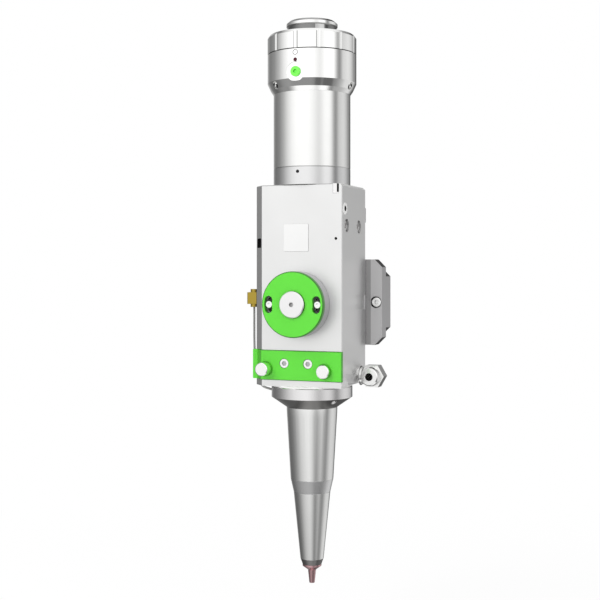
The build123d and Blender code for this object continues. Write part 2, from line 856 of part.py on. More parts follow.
# Housing: one milled block that holds the optics, the dial, the drawer and the gas port
with BuildPart() as housing:
    with BuildSketch(Plane.XY.offset(-body_bottom)):
        with BuildLine():
            Polyline(
                (-body_left, rear_y),
                (-body_left, front_y + corner_chamfer),
                (-body_left + corner_chamfer, front_y),
                (body_right, front_y),
                (body_right, rear_y),
                close=True,
            )
        make_face()
    extrude(amount=body_top + body_bottom)
    chamfer(housing.faces().sort_by(Axis.Z)[-1].edges().sort_by(Axis.X)[-1], right_top_chamfer)
    chamfer(housing.faces().sort_by(Axis.Z)[-1].edges().sort_by(Axis.X)[:-1], edge_chamfer)
    right_corners = housing.edges().filter_by(Axis.Z).group_by(Axis.X)[-1]
    chamfer(right_corners.sort_by(Axis.Y)[0], edge_chamfer)
    # stepped bore along the beam: base spigot, window seat, focusing chamber and beam passage
    with BuildSketch(beam_section):
        with BuildLine():
            Polyline(
                (0, -body_bottom),
                (beam_bore_radius, -body_bottom),
                (beam_bore_radius, chamber_bottom),
                (chamber_radius, chamber_bottom),
                (chamber_radius, chamber_top),
                (upper_window_radius + seat_gap, chamber_top),
                (upper_window_radius + seat_gap, body_top - base_spigot_length - seat_gap),
                (base_spigot_radius + seat_gap, body_top - base_spigot_length - seat_gap),
                (base_spigot_radius + seat_gap, body_top),
                (0, body_top),
                close=True,
            )
        make_face()
    revolve(axis=beam_axis, mode=Mode.SUBTRACT)
    # groove for the carriage's guide key
    with BuildSketch(Plane.XY.offset(-key_height / 2 - seat_gap)):
        with Locations((0, key_inner - seat_gap)):
            Rectangle(
                key_width + 2 * seat_gap,
                key_depth + 2 * seat_gap,
                align=(Align.CENTER, Align.MIN),
            )
    extrude(amount=key_height + 2 * seat_gap, mode=Mode.SUBTRACT)
    # pocket for the dial's bush, hub and follower, with the tapped holes of the dial's screws
    with BuildSketch(front_plane):
        Circle(bush_outer_radius + seat_gap)
    extrude(amount=-dial_pocket_depth, mode=Mode.SUBTRACT)
    with BuildSketch(front_plane):
        with Locations((slot_place, 0), (-slot_place, 0)):
            Circle(lock_screw_radius + seat_gap)
    extrude(amount=-(lock_screw_bite + 1), mode=Mode.SUBTRACT)
    # slot for the window drawer, round at the back
    with BuildSketch(Plane.XY.offset(tray_bottom - run_gap)):
        slot_half_width = tray_half_width + run_gap
        with Locations((0, beam_y)):
            Circle(slot_half_width)
        with Locations((0, (front_y + beam_y) / 2)):
            Rectangle(2 * slot_half_width, body_depth / 2)
    extrude(amount=tray_height + 2 * run_gap, mode=Mode.SUBTRACT)
    # step that the drawer's cover closes against, round the chamfered corner
    step_depth = cover_thickness - cover_proud + free_gap
    with BuildSketch(Plane.XY.offset(drawer_bottom - free_gap)):
        with BuildLine():
            Polyline(
                (-body_left - 1, front_y + cover_tab_back + free_gap),
                (-body_left + step_depth, front_y + cover_tab_back + free_gap),
                (-body_left + step_depth, front_y + corner_chamfer + step_depth * corner_step),
                (-body_left + corner_chamfer + step_depth * corner_step, front_y + step_depth),
                (body_right + 1, front_y + step_depth),
                (body_right + 1, front_y - 1),
                (-body_left - 1, front_y - 1),
                close=True,
            )
        make_face()
    extrude(amount=drawer_top - drawer_bottom + 2 * free_gap, mode=Mode.SUBTRACT)
    # tapped holes of the drawer's two captive screws
    for knob_x, knob_z in ((left_knob_x, left_knob_z), (right_knob_x, right_knob_z)):
        with BuildSketch(front_plane):
            with Locations((knob_x, knob_z)):
                Circle(knob_shank_radius + run_gap)
        extrude(amount=-(knob_shank_length + free_gap), mode=Mode.SUBTRACT)
    # counterbored screws and the vent bush on the right side
    for place in (side_screw_front, side_screw_rear):
        with BuildSketch(right_plane):
            with Locations((beam_y + place, side_screw_z)):
                Circle(side_screw_pocket_radius)
        extrude(amount=-side_screw_pocket_depth, mode=Mode.SUBTRACT)
        with BuildSketch(right_plane):
            with Locations((beam_y + place, side_screw_z)):
                Circle(side_screw_radius + seat_gap)
        extrude(amount=-(side_screw_pocket_depth + side_screw_length + seat_gap), mode=Mode.SUBTRACT)
    with BuildSketch(right_plane):
        with Locations((beam_y + vent_y, vent_z)):
            Circle(vent_radius - 1)
    extrude(amount=-(vent_length + seat_gap), mode=Mode.SUBTRACT)
    # gas port from the side, then down to the plenum in the flange
    with BuildSketch(right_plane):
        with Locations((beam_y + gas_leg_y, gas_z)):
            Circle(gas_leg_bore)
    extrude(amount=-(body_right - gas_drop_x + gas_leg_bore), mode=Mode.SUBTRACT)
    with BuildSketch(Plane.XY.offset(-body_bottom)):
        with Locations((gas_drop_x, beam_y + gas_leg_y)):
            Circle(gas_drop_bore)
    extrude(amount=gas_z + body_bottom, mode=Mode.SUBTRACT)
    # sensor jack's thread on the left side
    with BuildSketch(left_plane):
        with Locations((-(beam_y + jack_depth_place), jack_z)):
            Circle(jack_radius + seat_gap)
    extrude(amount=-(jack_thread_length + seat_gap), mode=Mode.SUBTRACT)
    # recess in the chamfered corner
    corner_plane = Plane(
        origin=(-body_left + corner_chamfer / 2, front_y + corner_chamfer / 2, 0),
        x_dir=(1, -1, 0),
        z_dir=(-1, -1, 0),
    )
    with BuildSketch(corner_plane):
        with Locations((0, latch_recess_bottom + latch_recess_height / 2)):
            RectangleRounded(latch_recess_width, latch_recess_height, 1)
    extrude(amount=-latch_recess_depth, mode=Mode.SUBTRACT)
    # shallow groove on the right side towards the wing
    with BuildSketch(right_plane):
        with Locations((beam_y + side_groove_front, side_groove_bottom)):
            Rectangle(
                body_depth / 2 - side_groove_front,
                side_groove_top - side_groove_bottom,
                align=(Align.MIN, Align.MIN),
            )
    extrude(amount=-side_groove_depth, mode=Mode.SUBTRACT)
    # corner pocket at the top right of the front, and the gauge hole below it
    with BuildSketch(front_plane):
        with Locations((corner_key_left - seat_gap, body_top - corner_key_drop - seat_gap)):
            Rectangle(
                corner_key_right - corner_key_left + 2 * seat_gap,
                corner_key_drop + 1,
                align=(Align.MIN, Align.MIN),
            )
    extrude(amount=-(corner_key_depth + seat_gap), mode=Mode.SUBTRACT)
    with BuildSketch(front_plane):
        with Locations((gauge_hole_x, gauge_hole_z)):
            Circle(gauge_hole_radius)
    extrude(amount=-gauge_hole_depth, mode=Mode.SUBTRACT)
    # seat of the blank badge
    with BuildSketch(front_plane):
        with Locations((badge_center_x, badge_center_z)):
            RectangleRounded(badge_width + 2 * seat_gap, badge_height + 2 * seat_gap, 1 + seat_gap)
    extrude(amount=-badge_recess, mode=Mode.SUBTRACT)
    # tapped holes in the back for the plate's bolts and for the rear plug
    with BuildSketch(rear_plane):
        with GridLocations(plate_bolt_spacing_x, plate_bolt_spacing_z, 2, 2):
            Circle(plate_bolt_radius + seat_gap)
    extrude(amount=-(plate_bolt_length - plate_thickness + plate_bolt_head_height + 1), mode=Mode.SUBTRACT)
    with BuildSketch(rear_plane):
        with Locations((-rear_port_x, rear_port_z)):
            Circle(rear_port_shank_radius + seat_gap)
    extrude(amount=-(rear_port_shank_length + seat_gap), mode=Mode.SUBTRACT)
    # tapped holes in the underside for the flange's screws
    with BuildSketch(Plane.XY.offset(-body_bottom)):
        with Locations(*screw_places):
            Circle(flange_screw_radius + seat_gap)
    extrude(amount=flange_screw_length - flange_screw_seat - insulator_thickness + 1, mode=Mode.SUBTRACT)
    add(heel_cutter.part, mode=Mode.SUBTRACT)
housing.part.label = "housing"
export_step(housing.part, "parts/housing.step")

# Blank badge on the front
with BuildPart() as front_badge:
    with BuildSketch(Plane.XZ.offset(-front_y - badge_recess)):
        with Locations((badge_center_x, badge_center_z)):
            RectangleRounded(badge_width, badge_height, 1)
    extrude(amount=badge_thickness)
front_badge.part.label = "front_badge"
export_step(front_badge.part, "parts/front_badge.step")

# Slotted key set into the top right corner
with BuildPart() as corner_key:
    with BuildSketch(front_plane):
        with Locations((corner_key_left, body_top - corner_key_drop)):
            Rectangle(
                corner_key_right - corner_key_left,
                corner_key_drop,
                align=(Align.MIN, Align.MIN),
            )
        with Locations((corner_key_slot_x, body_top)):
            Rectangle(corner_key_slot_width, 2 * corner_key_slot_depth, mode=Mode.SUBTRACT)
    extrude(amount=-corner_key_depth)
corner_key.part.label = "corner_key"
export_step(corner_key.part, "parts/corner_key.step")

# Vent bush on the right side
with BuildPart() as vent_bush:
    with BuildSketch(right_plane):
        with Locations((beam_y + vent_y, vent_z)):
            Circle(vent_radius)
    extrude(amount=vent_rise)
    chamfer(vent_bush.edges().group_by(Axis.X)[-1], vent_rise / 2)
    with BuildSketch(right_plane):
        with Locations((beam_y + vent_y, vent_z)):
            Circle(vent_radius - 1 - seat_gap)
    extrude(amount=-vent_length)
    with BuildSketch(right_plane.offset(vent_rise)):
        with Locations((beam_y + vent_y, vent_z)):
            Circle(vent_bore_radius)
    extrude(amount=-(vent_rise + vent_length), mode=Mode.SUBTRACT)
vent_bush.part.label = "vent_bush"
export_step(vent_bush.part, "parts/vent_bush.step")

# Two cap screws sunk in the right side
with BuildPart() as side_screws:
    screw = cap_screw(side_screw_head_radius, side_screw_head_height, side_screw_radius, side_screw_length)
    seat = right_plane.offset(-side_screw_pocket_depth)
    for place in (side_screw_front, side_screw_rear):
        with Locations(seat * Location((beam_y + place, side_screw_z, 0))):
            add(screw)
side_screws.part.label = "side_screws"
export_step(side_screws.part, "parts/side_screws.step")

# Plug in the unused port at the back
with BuildPart() as rear_port_plug:
    with BuildSketch(rear_plane):
        with Locations((-rear_port_x, rear_port_z)):
            RectangleRounded(2 * rear_port_half_width, rear_port_height, rear_port_corner)
    extrude(amount=rear_port_rise)
    chamfer(rear_port_plug.edges().group_by(Axis.Y)[-1], rear_port_rise / 6)
    with BuildSketch(rear_plane):
        with Locations((-rear_port_x, rear_port_z)):
            Circle(rear_port_shank_radius)
    extrude(amount=-rear_port_shank_length)
    with BuildSketch(rear_plane.offset(rear_port_rise)):
        with Locations((-rear_port_x, rear_port_z)):
            RegularPolygon(rear_port_hex_radius, 6)
    extrude(amount=-rear_port_rise * 0.7, mode=Mode.SUBTRACT)
rear_port_plug.part.label = "rear_port_plug"
export_step(rear_port_plug.part, "parts/rear_port_plug.step")

# Back plate with its wings and the holes for the machine's bracket
with BuildPart() as rear_plate:
    plate_layers = (
        (0, plate_rear_layer, rear_corner_cut),
        (plate_rear_layer, plate_thickness - plate_rear_layer, front_corner_cut),
    )
    for layer_start, layer_thickness, corner_cut in plate_layers:
        with BuildSketch(plate_plane.offset(layer_start)) as layer_outline:
            Rectangle(2 * plate_half_width, 2 * plate_half_height)
            chamfer(layer_outline.vertices(), corner_cut)
        extrude(amount=layer_thickness)
    # the front is relieved in a strip along each side of the block
    with BuildSketch(plate_plane.offset(plate_thickness)):
        with Locations((body_right + plate_relief_width / 2, 0), (-body_left - plate_relief_width / 2, 0)):
            Rectangle(plate_relief_width, 2 * plate_half_height)
    extrude(amount=-plate_relief, mode=Mode.SUBTRACT)
    # each wing screw's head lies in a counterbore
    with BuildSketch(plate_plane.offset(plate_thickness)):
        with Locations((wing_screw_x, 0), (-wing_screw_x, 0)):
            Circle(wing_screw_head_radius + wing_screw_gap)
    extrude(amount=-wing_screw_sink, mode=Mode.SUBTRACT)
    with BuildSketch(plate_plane):
        with Locations((wing_screw_x, 0), (-wing_screw_x, 0)):
            Circle(wing_screw_radius + seat_gap)
    extrude(amount=plate_thickness, mode=Mode.SUBTRACT)
    # holes for the machine's bolts, and counterbores for the bolts into the housing
    with BuildSketch(Plane.XZ):
        with GridLocations(mount_spacing_x, mount_spacing_z, 2, 2):
            Circle(mount_hole_radius)
        with GridLocations(plate_bolt_spacing_x, plate_bolt_spacing_z, 2, 2):
            Circle(plate_bolt_radius + seat_gap)
    extrude(amount=plate_thickness, mode=Mode.SUBTRACT)
    with BuildSketch(Plane.XZ):
        with GridLocations(plate_bolt_spacing_x, plate_bolt_spacing_z, 2, 2):
            Circle(plate_bolt_head_radius + seat_gap)
    extrude(amount=plate_bolt_head_height + free_gap, mode=Mode.SUBTRACT)
rear_plate.part.label = "rear_plate"
export_step(rear_plate.part, "parts/rear_plate.step")

# Bolts that hold the plate on the housing, their heads sunk in the plate's back
with BuildPart() as plate_bolts:
    bolt = cap_screw(plate_bolt_head_radius, plate_bolt_head_height, plate_bolt_radius, plate_bolt_length)
    head_seat = Plane(origin=(0, -plate_bolt_head_height - free_gap, 0), x_dir=(-1, 0, 0), z_dir=(0, 1, 0))
    for x in (plate_bolt_spacing_x / 2, -plate_bolt_spacing_x / 2):
        for z in (plate_bolt_spacing_z / 2, -plate_bolt_spacing_z / 2):
            with Locations(head_seat * Location((x, z, 0))):
                add(bolt)
plate_bolts.part.label = "plate_bolts"
export_step(plate_bolts.part, "parts/plate_bolts.step")

# Round-headed screw in each wing, its head below the wing's face
with BuildPart() as wing_screws:
    wing_seat = plate_plane.offset(plate_thickness - wing_screw_sink)
    for x in (wing_screw_x, -wing_screw_x):
        with BuildSketch(wing_seat):
            with Locations((x, 0)):
                Circle(wing_screw_head_radius)
        extrude(amount=wing_screw_head_height)
    fillet(wing_screws.edges().group_by(Axis.Y)[0], wing_screw_head_height * 0.4)
    for x in (wing_screw_x, -wing_screw_x):
        with BuildSketch(wing_seat):
            with Locations((x, 0)):
                Circle(wing_screw_radius)
        extrude(amount=-(plate_thickness - wing_screw_sink - wing_screw_floor))
        with BuildSketch(wing_seat.offset(wing_screw_head_height)):
            with Locations((x, 0)):
                RegularPolygon(wing_screw_radius * 0.7, 6)
        extrude(amount=-wing_screw_head_height * 0.6, mode=Mode.SUBTRACT)
wing_screws.part.label = "wing_screws"
export_step(wing_screws.part, "parts/wing_screws.step")

# Bush that the dial's shaft turns in
with BuildPart() as dial_bush:
    with BuildSketch(front_plane):
        Circle(bush_outer_radius)
        Circle(bush_inner_radius, mode=Mode.SUBTRACT)
    extrude(amount=-bush_length)
dial_bush.part.label = "dial_bush"
export_step(dial_bush.part, "parts/dial_bush.step")

# Focus dial: the bare metal disc behind the coloured face
with BuildPart() as focus_dial:
    with BuildSketch(Plane.XZ.offset(-dial_back_y)):
        Circle(dial_radius)
    extrude(amount=dial_thickness - dial_face_thickness - seat_gap)
    with BuildSketch(Plane.XZ.offset(-dial_back_y)):
        Circle(shaft_radius + seat_gap)
    extrude(amount=shaft_collar_depth, mode=Mode.SUBTRACT)
    with BuildSketch(Plane.XZ.offset(-dial_back_y)):
        Circle(hub_radius + seat_gap)
    extrude(amount=dial_thickness, mode=Mode.SUBTRACT)
    # arc slots: narrow for the screws' shanks, wider at the front for their heads
    for start in slot_starts:
        with BuildSketch(Plane.XZ.offset(-dial_back_y)):
            SlotArc(
                CenterArc((0, 0), slot_place, start, 2 * slot_swing, mode=Mode.PRIVATE),
                2 * (lock_screw_radius + free_gap),
            )
        extrude(amount=dial_thickness, mode=Mode.SUBTRACT)
        with BuildSketch(Plane.XZ.offset(-dial_front_y - slot_head_depth)):
            SlotArc(
                CenterArc((0, 0), slot_place, start, 2 * slot_swing, mode=Mode.PRIVATE),
                2 * slot_head_half_width,
            )
        extrude(amount=dial_thickness, mode=Mode.SUBTRACT)
focus_dial.part.label = "focus_dial"
export_step(focus_dial.part, "parts/focus_dial.step")

# Green face of the dial
with BuildPart() as dial_face:
    with BuildSketch(Plane.XZ.offset(-dial_front_y - dial_face_thickness)):
        Circle(dial_radius)
    extrude(amount=dial_face_thickness)
    chamfer(dial_face.edges().group_by(Axis.Y)[0], dial_edge_chamfer)
    with BuildSketch(Plane.XZ.offset(-dial_front_y)):
        Circle(hub_radius + seat_gap)
        for start in slot_starts:
            SlotArc(
                CenterArc((0, 0), slot_place, start, 2 * slot_swing, mode=Mode.PRIVATE),
                2 * slot_head_half_width,
            )
    extrude(amount=-dial_face_thickness, mode=Mode.SUBTRACT)
dial_face.part.label = "dial_face"
export_step(dial_face.part, "parts/dial_face.step")

# Hub of the dial: a bright cap in front, the shaft behind it and the eccentric pin
with BuildPart() as dial_hub:
    hub_front = -dial_front_y + hub_rise
    with BuildSketch(Plane.XZ.offset(-dial_back_y)):
        Circle(hub_radius)
    extrude(amount=hub_front + dial_back_y)
    chamfer(dial_hub.edges().group_by(Axis.Y)[0], hub_chamfer)
    with BuildSketch(Plane.XZ.offset(-dial_back_y + shaft_collar_depth - seat_gap)):
        Circle(shaft_radius)
    extrude(amount=-(shaft_collar_depth - seat_gap + free_gap + bush_length))
    with BuildSketch(Plane.XZ.offset(-shaft_end_y)):
        with Locations((pin_offset, 0)):
            Circle(pin_radius)
    extrude(amount=-pin_length)
    with BuildSketch(Plane.XZ.offset(hub_front)):
        RegularPolygon(hub_socket_radius, 6)
    extrude(amount=-hub_socket_depth, mode=Mode.SUBTRACT)
dial_hub.part.label = "dial_hub"
export_step(dial_hub.part, "parts/dial_hub.step")

# Two screws that lock the dial through its arc slots
with BuildPart() as dial_lock_screws:
    head_seat_y = dial_front_y + slot_head_depth - seat_gap
    screw = cap_screw(
        lock_screw_head_radius,
        lock_screw_head_height,
        lock_screw_radius,
        front_y + lock_screw_bite - head_seat_y,
    )
    for x in (slot_place, -slot_place):
        with Locations(Plane.XZ.offset(-head_seat_y) * Location((x, 0, 0))):
            add(screw)
dial_lock_screws.part.label = "dial_lock_screws"
export_step(dial_lock_screws.part, "parts/dial_lock_screws.step")

# Focusing carriage: slides in the chamber and holds the focusing lens
with BuildPart() as focus_carriage:
    carriage_top = carriage_height / 2
    with BuildSketch(beam_section):
        with BuildLine():
            Polyline(
                (carriage_bore_radius, -carriage_top),
                (carriage_radius, -carriage_top),
                (carriage_radius, carriage_top),
                (lens_radius + seat_gap, carriage_top),
                (lens_radius + seat_gap, carriage_lens_seat),
                (carriage_bore_radius, carriage_lens_seat),
                close=True,
            )
        make_face()
    revolve(axis=beam_axis)
    # flat for the follower, with its two tapped holes
    with BuildSketch(Plane.XZ.offset(-beam_y + carriage_flat)):
        Rectangle(2 * carriage_radius, 2 * (follower_half_height + seat_gap))
    extrude(amount=carriage_radius, mode=Mode.SUBTRACT)
    with BuildSketch(Plane.XZ.offset(-beam_y + carriage_flat)):
        with Locations((follower_screw_x, 0), (-follower_screw_x, 0)):
            Circle(follower_screw_radius + seat_gap)
    extrude(amount=-(carriage_flat - carriage_bore_radius + 1), mode=Mode.SUBTRACT)
    # groove that slides on the guide key
    with BuildSketch(Plane.XY.offset(-carriage_top)):
        with Locations((0, beam_y + carriage_radius)):
            Rectangle(key_width + 2 * run_gap, 2 * (key_reach + free_gap))
    extrude(amount=carriage_height, mode=Mode.SUBTRACT)
focus_carriage.part.label = "focus_carriage"
export_step(focus_carriage.part, "parts/focus_carriage.step")

# Follower: a fork on the carriage that the dial's eccentric pin lifts
with BuildPart() as follower:
    with BuildSketch(Plane.XZ.offset(-beam_y + carriage_flat)):
        with Locations((-follower_left, 0)):
            Rectangle(
                follower_left + follower_right,
                2 * follower_half_height,
                align=(Align.MIN, Align.CENTER),
            )
        with Locations((pin_offset, 0)):
            Circle(pin_radius + run_gap, mode=Mode.SUBTRACT)
            Rectangle(
                follower_right,
                2 * (pin_radius + run_gap),
                align=(Align.MIN, Align.CENTER),
                mode=Mode.SUBTRACT,
            )
        with Locations((pin_offset - 2 * free_gap, 0)):
            Circle(pin_radius + run_gap, mode=Mode.SUBTRACT)
        with Locations((follower_screw_x, 0), (-follower_screw_x, 0)):
            Circle(follower_screw_radius + seat_gap, mode=Mode.SUBTRACT)
    extrude(amount=follower_thickness)
    with BuildSketch(Plane.XZ.offset(-follower_front_y)):
        with Locations((follower_screw_x, 0), (-follower_screw_x, 0)):
            Circle(follower_screw_head_radius + seat_gap)
    extrude(amount=-follower_screw_head_height, mode=Mode.SUBTRACT)
follower.part.label = "follower"
export_step(follower.part, "parts/follower.step")

# Screws of the follower
with BuildPart() as follower_screws:
    screw = cap_screw(
        follower_screw_head_radius,
        follower_screw_head_height,
        follower_screw_radius,
        follower_screw_length - follower_screw_head_height,
    )
    head_offset = -follower_front_y - follower_screw_head_height
    for x in (follower_screw_x, -follower_screw_x):
        with Locations(Plane.XZ.offset(head_offset) * Location((x, 0, 0))):
            add(screw)
follower_screws.part.label = "follower_screws"
export_step(follower_screws.part, "parts/follower_screws.step")

# Focusing lens, crowned on both sides
with BuildPart() as focus_lens:
    lens_bottom = carriage_lens_seat + seat_gap
    focus_lens_top = lens_bottom + lens_edge
    ring_radius = lens_radius - retainer_wall
    clear_radius = carriage_bore_radius - free_gap
    upper_halfway, upper_rise = crown_point(ring_radius, lens_crown)
    lower_halfway, lower_rise = crown_point(clear_radius, lens_crown)
    with BuildSketch(beam_section):
        with BuildLine():
            Polyline(
                (clear_radius, lens_bottom),
                (lens_radius, lens_bottom),
                (lens_radius, focus_lens_top),
                (ring_radius, focus_lens_top),
            )
            ThreePointArc(
                (ring_radius, focus_lens_top),
                (upper_halfway, focus_lens_top + upper_rise),
                (0, focus_lens_top + lens_crown),
            )
            Line((0, focus_lens_top + lens_crown), (0, lens_bottom - lens_crown))
            ThreePointArc(
                (0, lens_bottom - lens_crown),
                (lower_halfway, lens_bottom - lower_rise),
                (clear_radius, lens_bottom),
            )
        make_face()
    revolve(axis=beam_axis)
focus_lens.part.label = "focus_lens"
export_step(focus_lens.part, "parts/focus_lens.step")

# Threaded ring that holds the focusing lens
with BuildPart() as focus_retainer:
    focus_ring_bottom = focus_lens_top + seat_gap
    with BuildSketch(Plane.XY.offset(focus_ring_bottom)):
        with Locations((0, beam_y)):
            Circle(lens_radius)
            Circle(lens_radius - retainer_wall, mode=Mode.SUBTRACT)
    extrude(amount=retainer_height)
    with BuildSketch(Plane.XY.offset(focus_ring_bottom + retainer_height)):
        with Locations((0, beam_y)):
            Rectangle(2 * lens_radius + 1, retainer_notch)
    extrude(amount=-retainer_height / 3, mode=Mode.SUBTRACT)
focus_retainer.part.label = "focus_retainer"
export_step(focus_retainer.part, "parts/focus_retainer.step")

# Guide key that stops the carriage from turning
with BuildPart() as carriage_key:
    with BuildSketch(Plane.XY.offset(-key_height / 2)):
        with Locations((0, key_inner)):
            Rectangle(key_width, key_depth, align=(Align.CENTER, Align.MIN))
    extrude(amount=key_height)
carriage_key.part.label = "carriage_key"
export_step(carriage_key.part, "parts/carriage_key.step")

# Drawer cover: the green band, wrapped round the corner and ending in a finger tab
with BuildPart() as drawer_cover:
    tab_front_y = front_y + cover_tab_front
    tab_back_y = front_y + cover_tab_back
    inner = cover_thickness - cover_proud
    tab_start_x = -body_left + corner_chamfer - cover_tab_front - cover_proud * corner_step
    with BuildSketch(Plane.XY.offset(drawer_bottom)):
        with BuildLine():
            Polyline(
                (body_right, cover_front_y),
                (body_right, cover_back_y),
                (-body_left + corner_chamfer + inner * corner_step, cover_back_y),
                (-body_left + inner, front_y + corner_chamfer + inner * corner_step),
                (-body_left + inner, tab_back_y),
                (-cover_tab_left, tab_back_y),
                (-cover_tab_left, tab_front_y),
                (tab_start_x, tab_front_y),
                (-body_left + corner_chamfer - cover_proud * corner_step, cover_front_y),
                close=True,
            )
        make_face()
    extrude(amount=drawer_top - drawer_bottom)
    chamfer(drawer_cover.faces().sort_by(Axis.Y)[0].edges(), 0.4)
    with BuildSketch(Plane.XZ.offset(-cover_front_y)):
        with Locations((cover_screw_left_x, cover_screw_z), (cover_screw_right_x, cover_screw_z)):
            Circle(cover_screw_radius + seat_gap)
        with Locations((left_knob_x, left_knob_z), (right_knob_x, right_knob_z)):
            Circle(knob_shank_radius + run_gap)
    extrude(amount=-cover_thickness, mode=Mode.SUBTRACT)
    with BuildSketch(Plane.XZ.offset(-cover_front_y)):
        with Locations((cover_screw_left_x, cover_screw_z), (cover_screw_right_x, cover_screw_z)):
            Circle(cover_screw_head_radius + seat_gap)
    extrude(amount=-(cover_screw_head_height + cover_screw_sink), mode=Mode.SUBTRACT)
    # shallow recess round each captive screw
    with BuildSketch(Plane.XZ.offset(-cover_front_y)):
        with Locations((left_knob_x, left_knob_z)):
            Circle(left_knob_radius + knob_recess_gap)
        with Locations((right_knob_x, right_knob_z)):
            Circle(right_knob_radius + knob_recess_gap)
    extrude(amount=-knob_recess_depth, mode=Mode.SUBTRACT)
drawer_cover.part.label = "drawer_cover"
export_step(drawer_cover.part, "parts/drawer_cover.step")

# Drawer tray: carries the protective window into the beam
with BuildPart() as drawer_tray:
    with BuildSketch(Plane.XY.offset(tray_bottom)):
        with Locations((0, beam_y)):
            Circle(tray_half_width)
        with Locations((0, tray_seat_y)):
            Rectangle(2 * tray_half_width, beam_y - tray_seat_y, align=(Align.CENTER, Align.MIN))
    extrude(amount=tray_height)
    window_floor_z = tray_bottom + drawer_window_floor
    with BuildSketch(Plane.XY.offset(window_floor_z)):
        with Locations((0, beam_y)):
            Circle(drawer_window_radius + seat_gap)
    extrude(amount=tray_height, mode=Mode.SUBTRACT)
    with BuildSketch(Plane.XY.offset(tray_bottom)):
        with Locations((0, beam_y)):
            Circle(beam_bore_radius)
    extrude(amount=tray_height, mode=Mode.SUBTRACT)
    with BuildSketch(Plane.XZ.offset(-tray_seat_y)):
        with Locations((cover_screw_left_x, cover_screw_z), (cover_screw_right_x, cover_screw_z)):
            Circle(cover_screw_radius + seat_gap)
    extrude(amount=-(cover_screw_length + 1), mode=Mode.SUBTRACT)
drawer_tray.part.label = "drawer_tray"
export_step(drawer_tray.part, "parts/drawer_tray.step")

# Screws that hold the cover on the tray
with BuildPart() as cover_screws:
    head_seat_y = cover_front_y + cover_screw_head_height + cover_screw_sink
    screw = cap_screw(
        cover_screw_head_radius, cover_screw_head_height, cover_screw_radius, cover_screw_length
    )
    for x in (cover_screw_left_x, cover_screw_right_x):
        with Locations(Plane.XZ.offset(-head_seat_y) * Location((x, cover_screw_z, 0))):
            add(screw)
cover_screws.part.label = "cover_screws"
export_step(cover_screws.part, "parts/cover_screws.step")

# Protective window in the drawer
with BuildPart() as drawer_window:
    with BuildSketch(Plane.XY.offset(window_floor_z + seat_gap)):
        with Locations((0, beam_y)):
            Circle(drawer_window_radius)
    extrude(amount=drawer_window_thickness)
drawer_window.part.label = "drawer_window"
export_step(drawer_window.part, "parts/drawer_window.step")

# Seal that lies on the window
with BuildPart() as window_seal:
    seal_bottom = window_floor_z + drawer_window_thickness + 2 * seat_gap
    with BuildSketch(Plane.XY.offset(seal_bottom)):
        with Locations((0, beam_y)):
            Circle(drawer_window_radius)
            Circle(beam_bore_radius, mode=Mode.SUBTRACT)
    extrude(amount=seal_section)
window_seal.part.label = "window_seal"
export_step(window_seal.part, "parts/window_seal.step")

# Ring that presses the seal and the window down
with BuildPart() as window_ring:
    with BuildSketch(Plane.XY.offset(seal_bottom + seal_section + seat_gap)):
        with Locations((0, beam_y)):
            Circle(drawer_window_radius)
            Circle(drawer_window_radius - window_ring_wall, mode=Mode.SUBTRACT)
    extrude(amount=window_ring_height)
window_ring.part.label = "window_ring"
export_step(window_ring.part, "parts/window_ring.step")


def captive_knob(x, z, radius, length):
    """A captive screw of the drawer: a plain turned knob in front of the cover, its shank behind."""
    face = Plane.XZ.offset(-cover_front_y)
    with BuildPart() as knob:
        with BuildSketch(face.offset(free_gap - knob_recess_depth)):
            with Locations((x, z)):
                Circle(knob_collar_radius)
        extrude(amount=knob_collar_height + knob_recess_depth)
        with BuildSketch(face.offset(free_gap + knob_collar_height)):
            with Locations((x, z)):
                Circle(radius)
        extrude(amount=length - knob_collar_height)
        chamfer(knob.edges().group_by(Axis.Y)[0], knob_chamfer)
        with BuildSketch(face.offset(free_gap - knob_recess_depth)):
            with Locations((x, z)):
                Circle(knob_shank_radius)
        extrude(amount=-(free_gap - knob_recess_depth + cover_proud + knob_shank_length))
    return knob.part


# The two captive screws that lock the drawer
for name, x, z, radius, length in (
    ("left_knob", left_knob_x, left_knob_z, left_knob_radius, left_knob_length),
    ("right_knob", right_knob_x, right_knob_z, right_knob_radius, right_knob_length),
):
    knob_part = captive_knob(x, z, radius, length)
    knob_part.label = name
    export_step(knob_part, f"parts/{name}.step")

# Insulating ring that separates the nozzle end from the housing
with BuildPart() as insulator_ring:
    with BuildSketch(Plane.XY.offset(insulator_bottom)):
        with Locations((0, beam_y)):
            Circle(insulator_radius)
            Circle(plenum_radius, mode=Mode.SUBTRACT)
        with Locations(*screw_places):
            Circle(flange_screw_radius + seat_gap, mode=Mode.SUBTRACT)
    extrude(amount=insulator_thickness)
insulator_ring.part.label = "insulator_ring"
export_step(insulator_ring.part, "parts/insulator_ring.step")

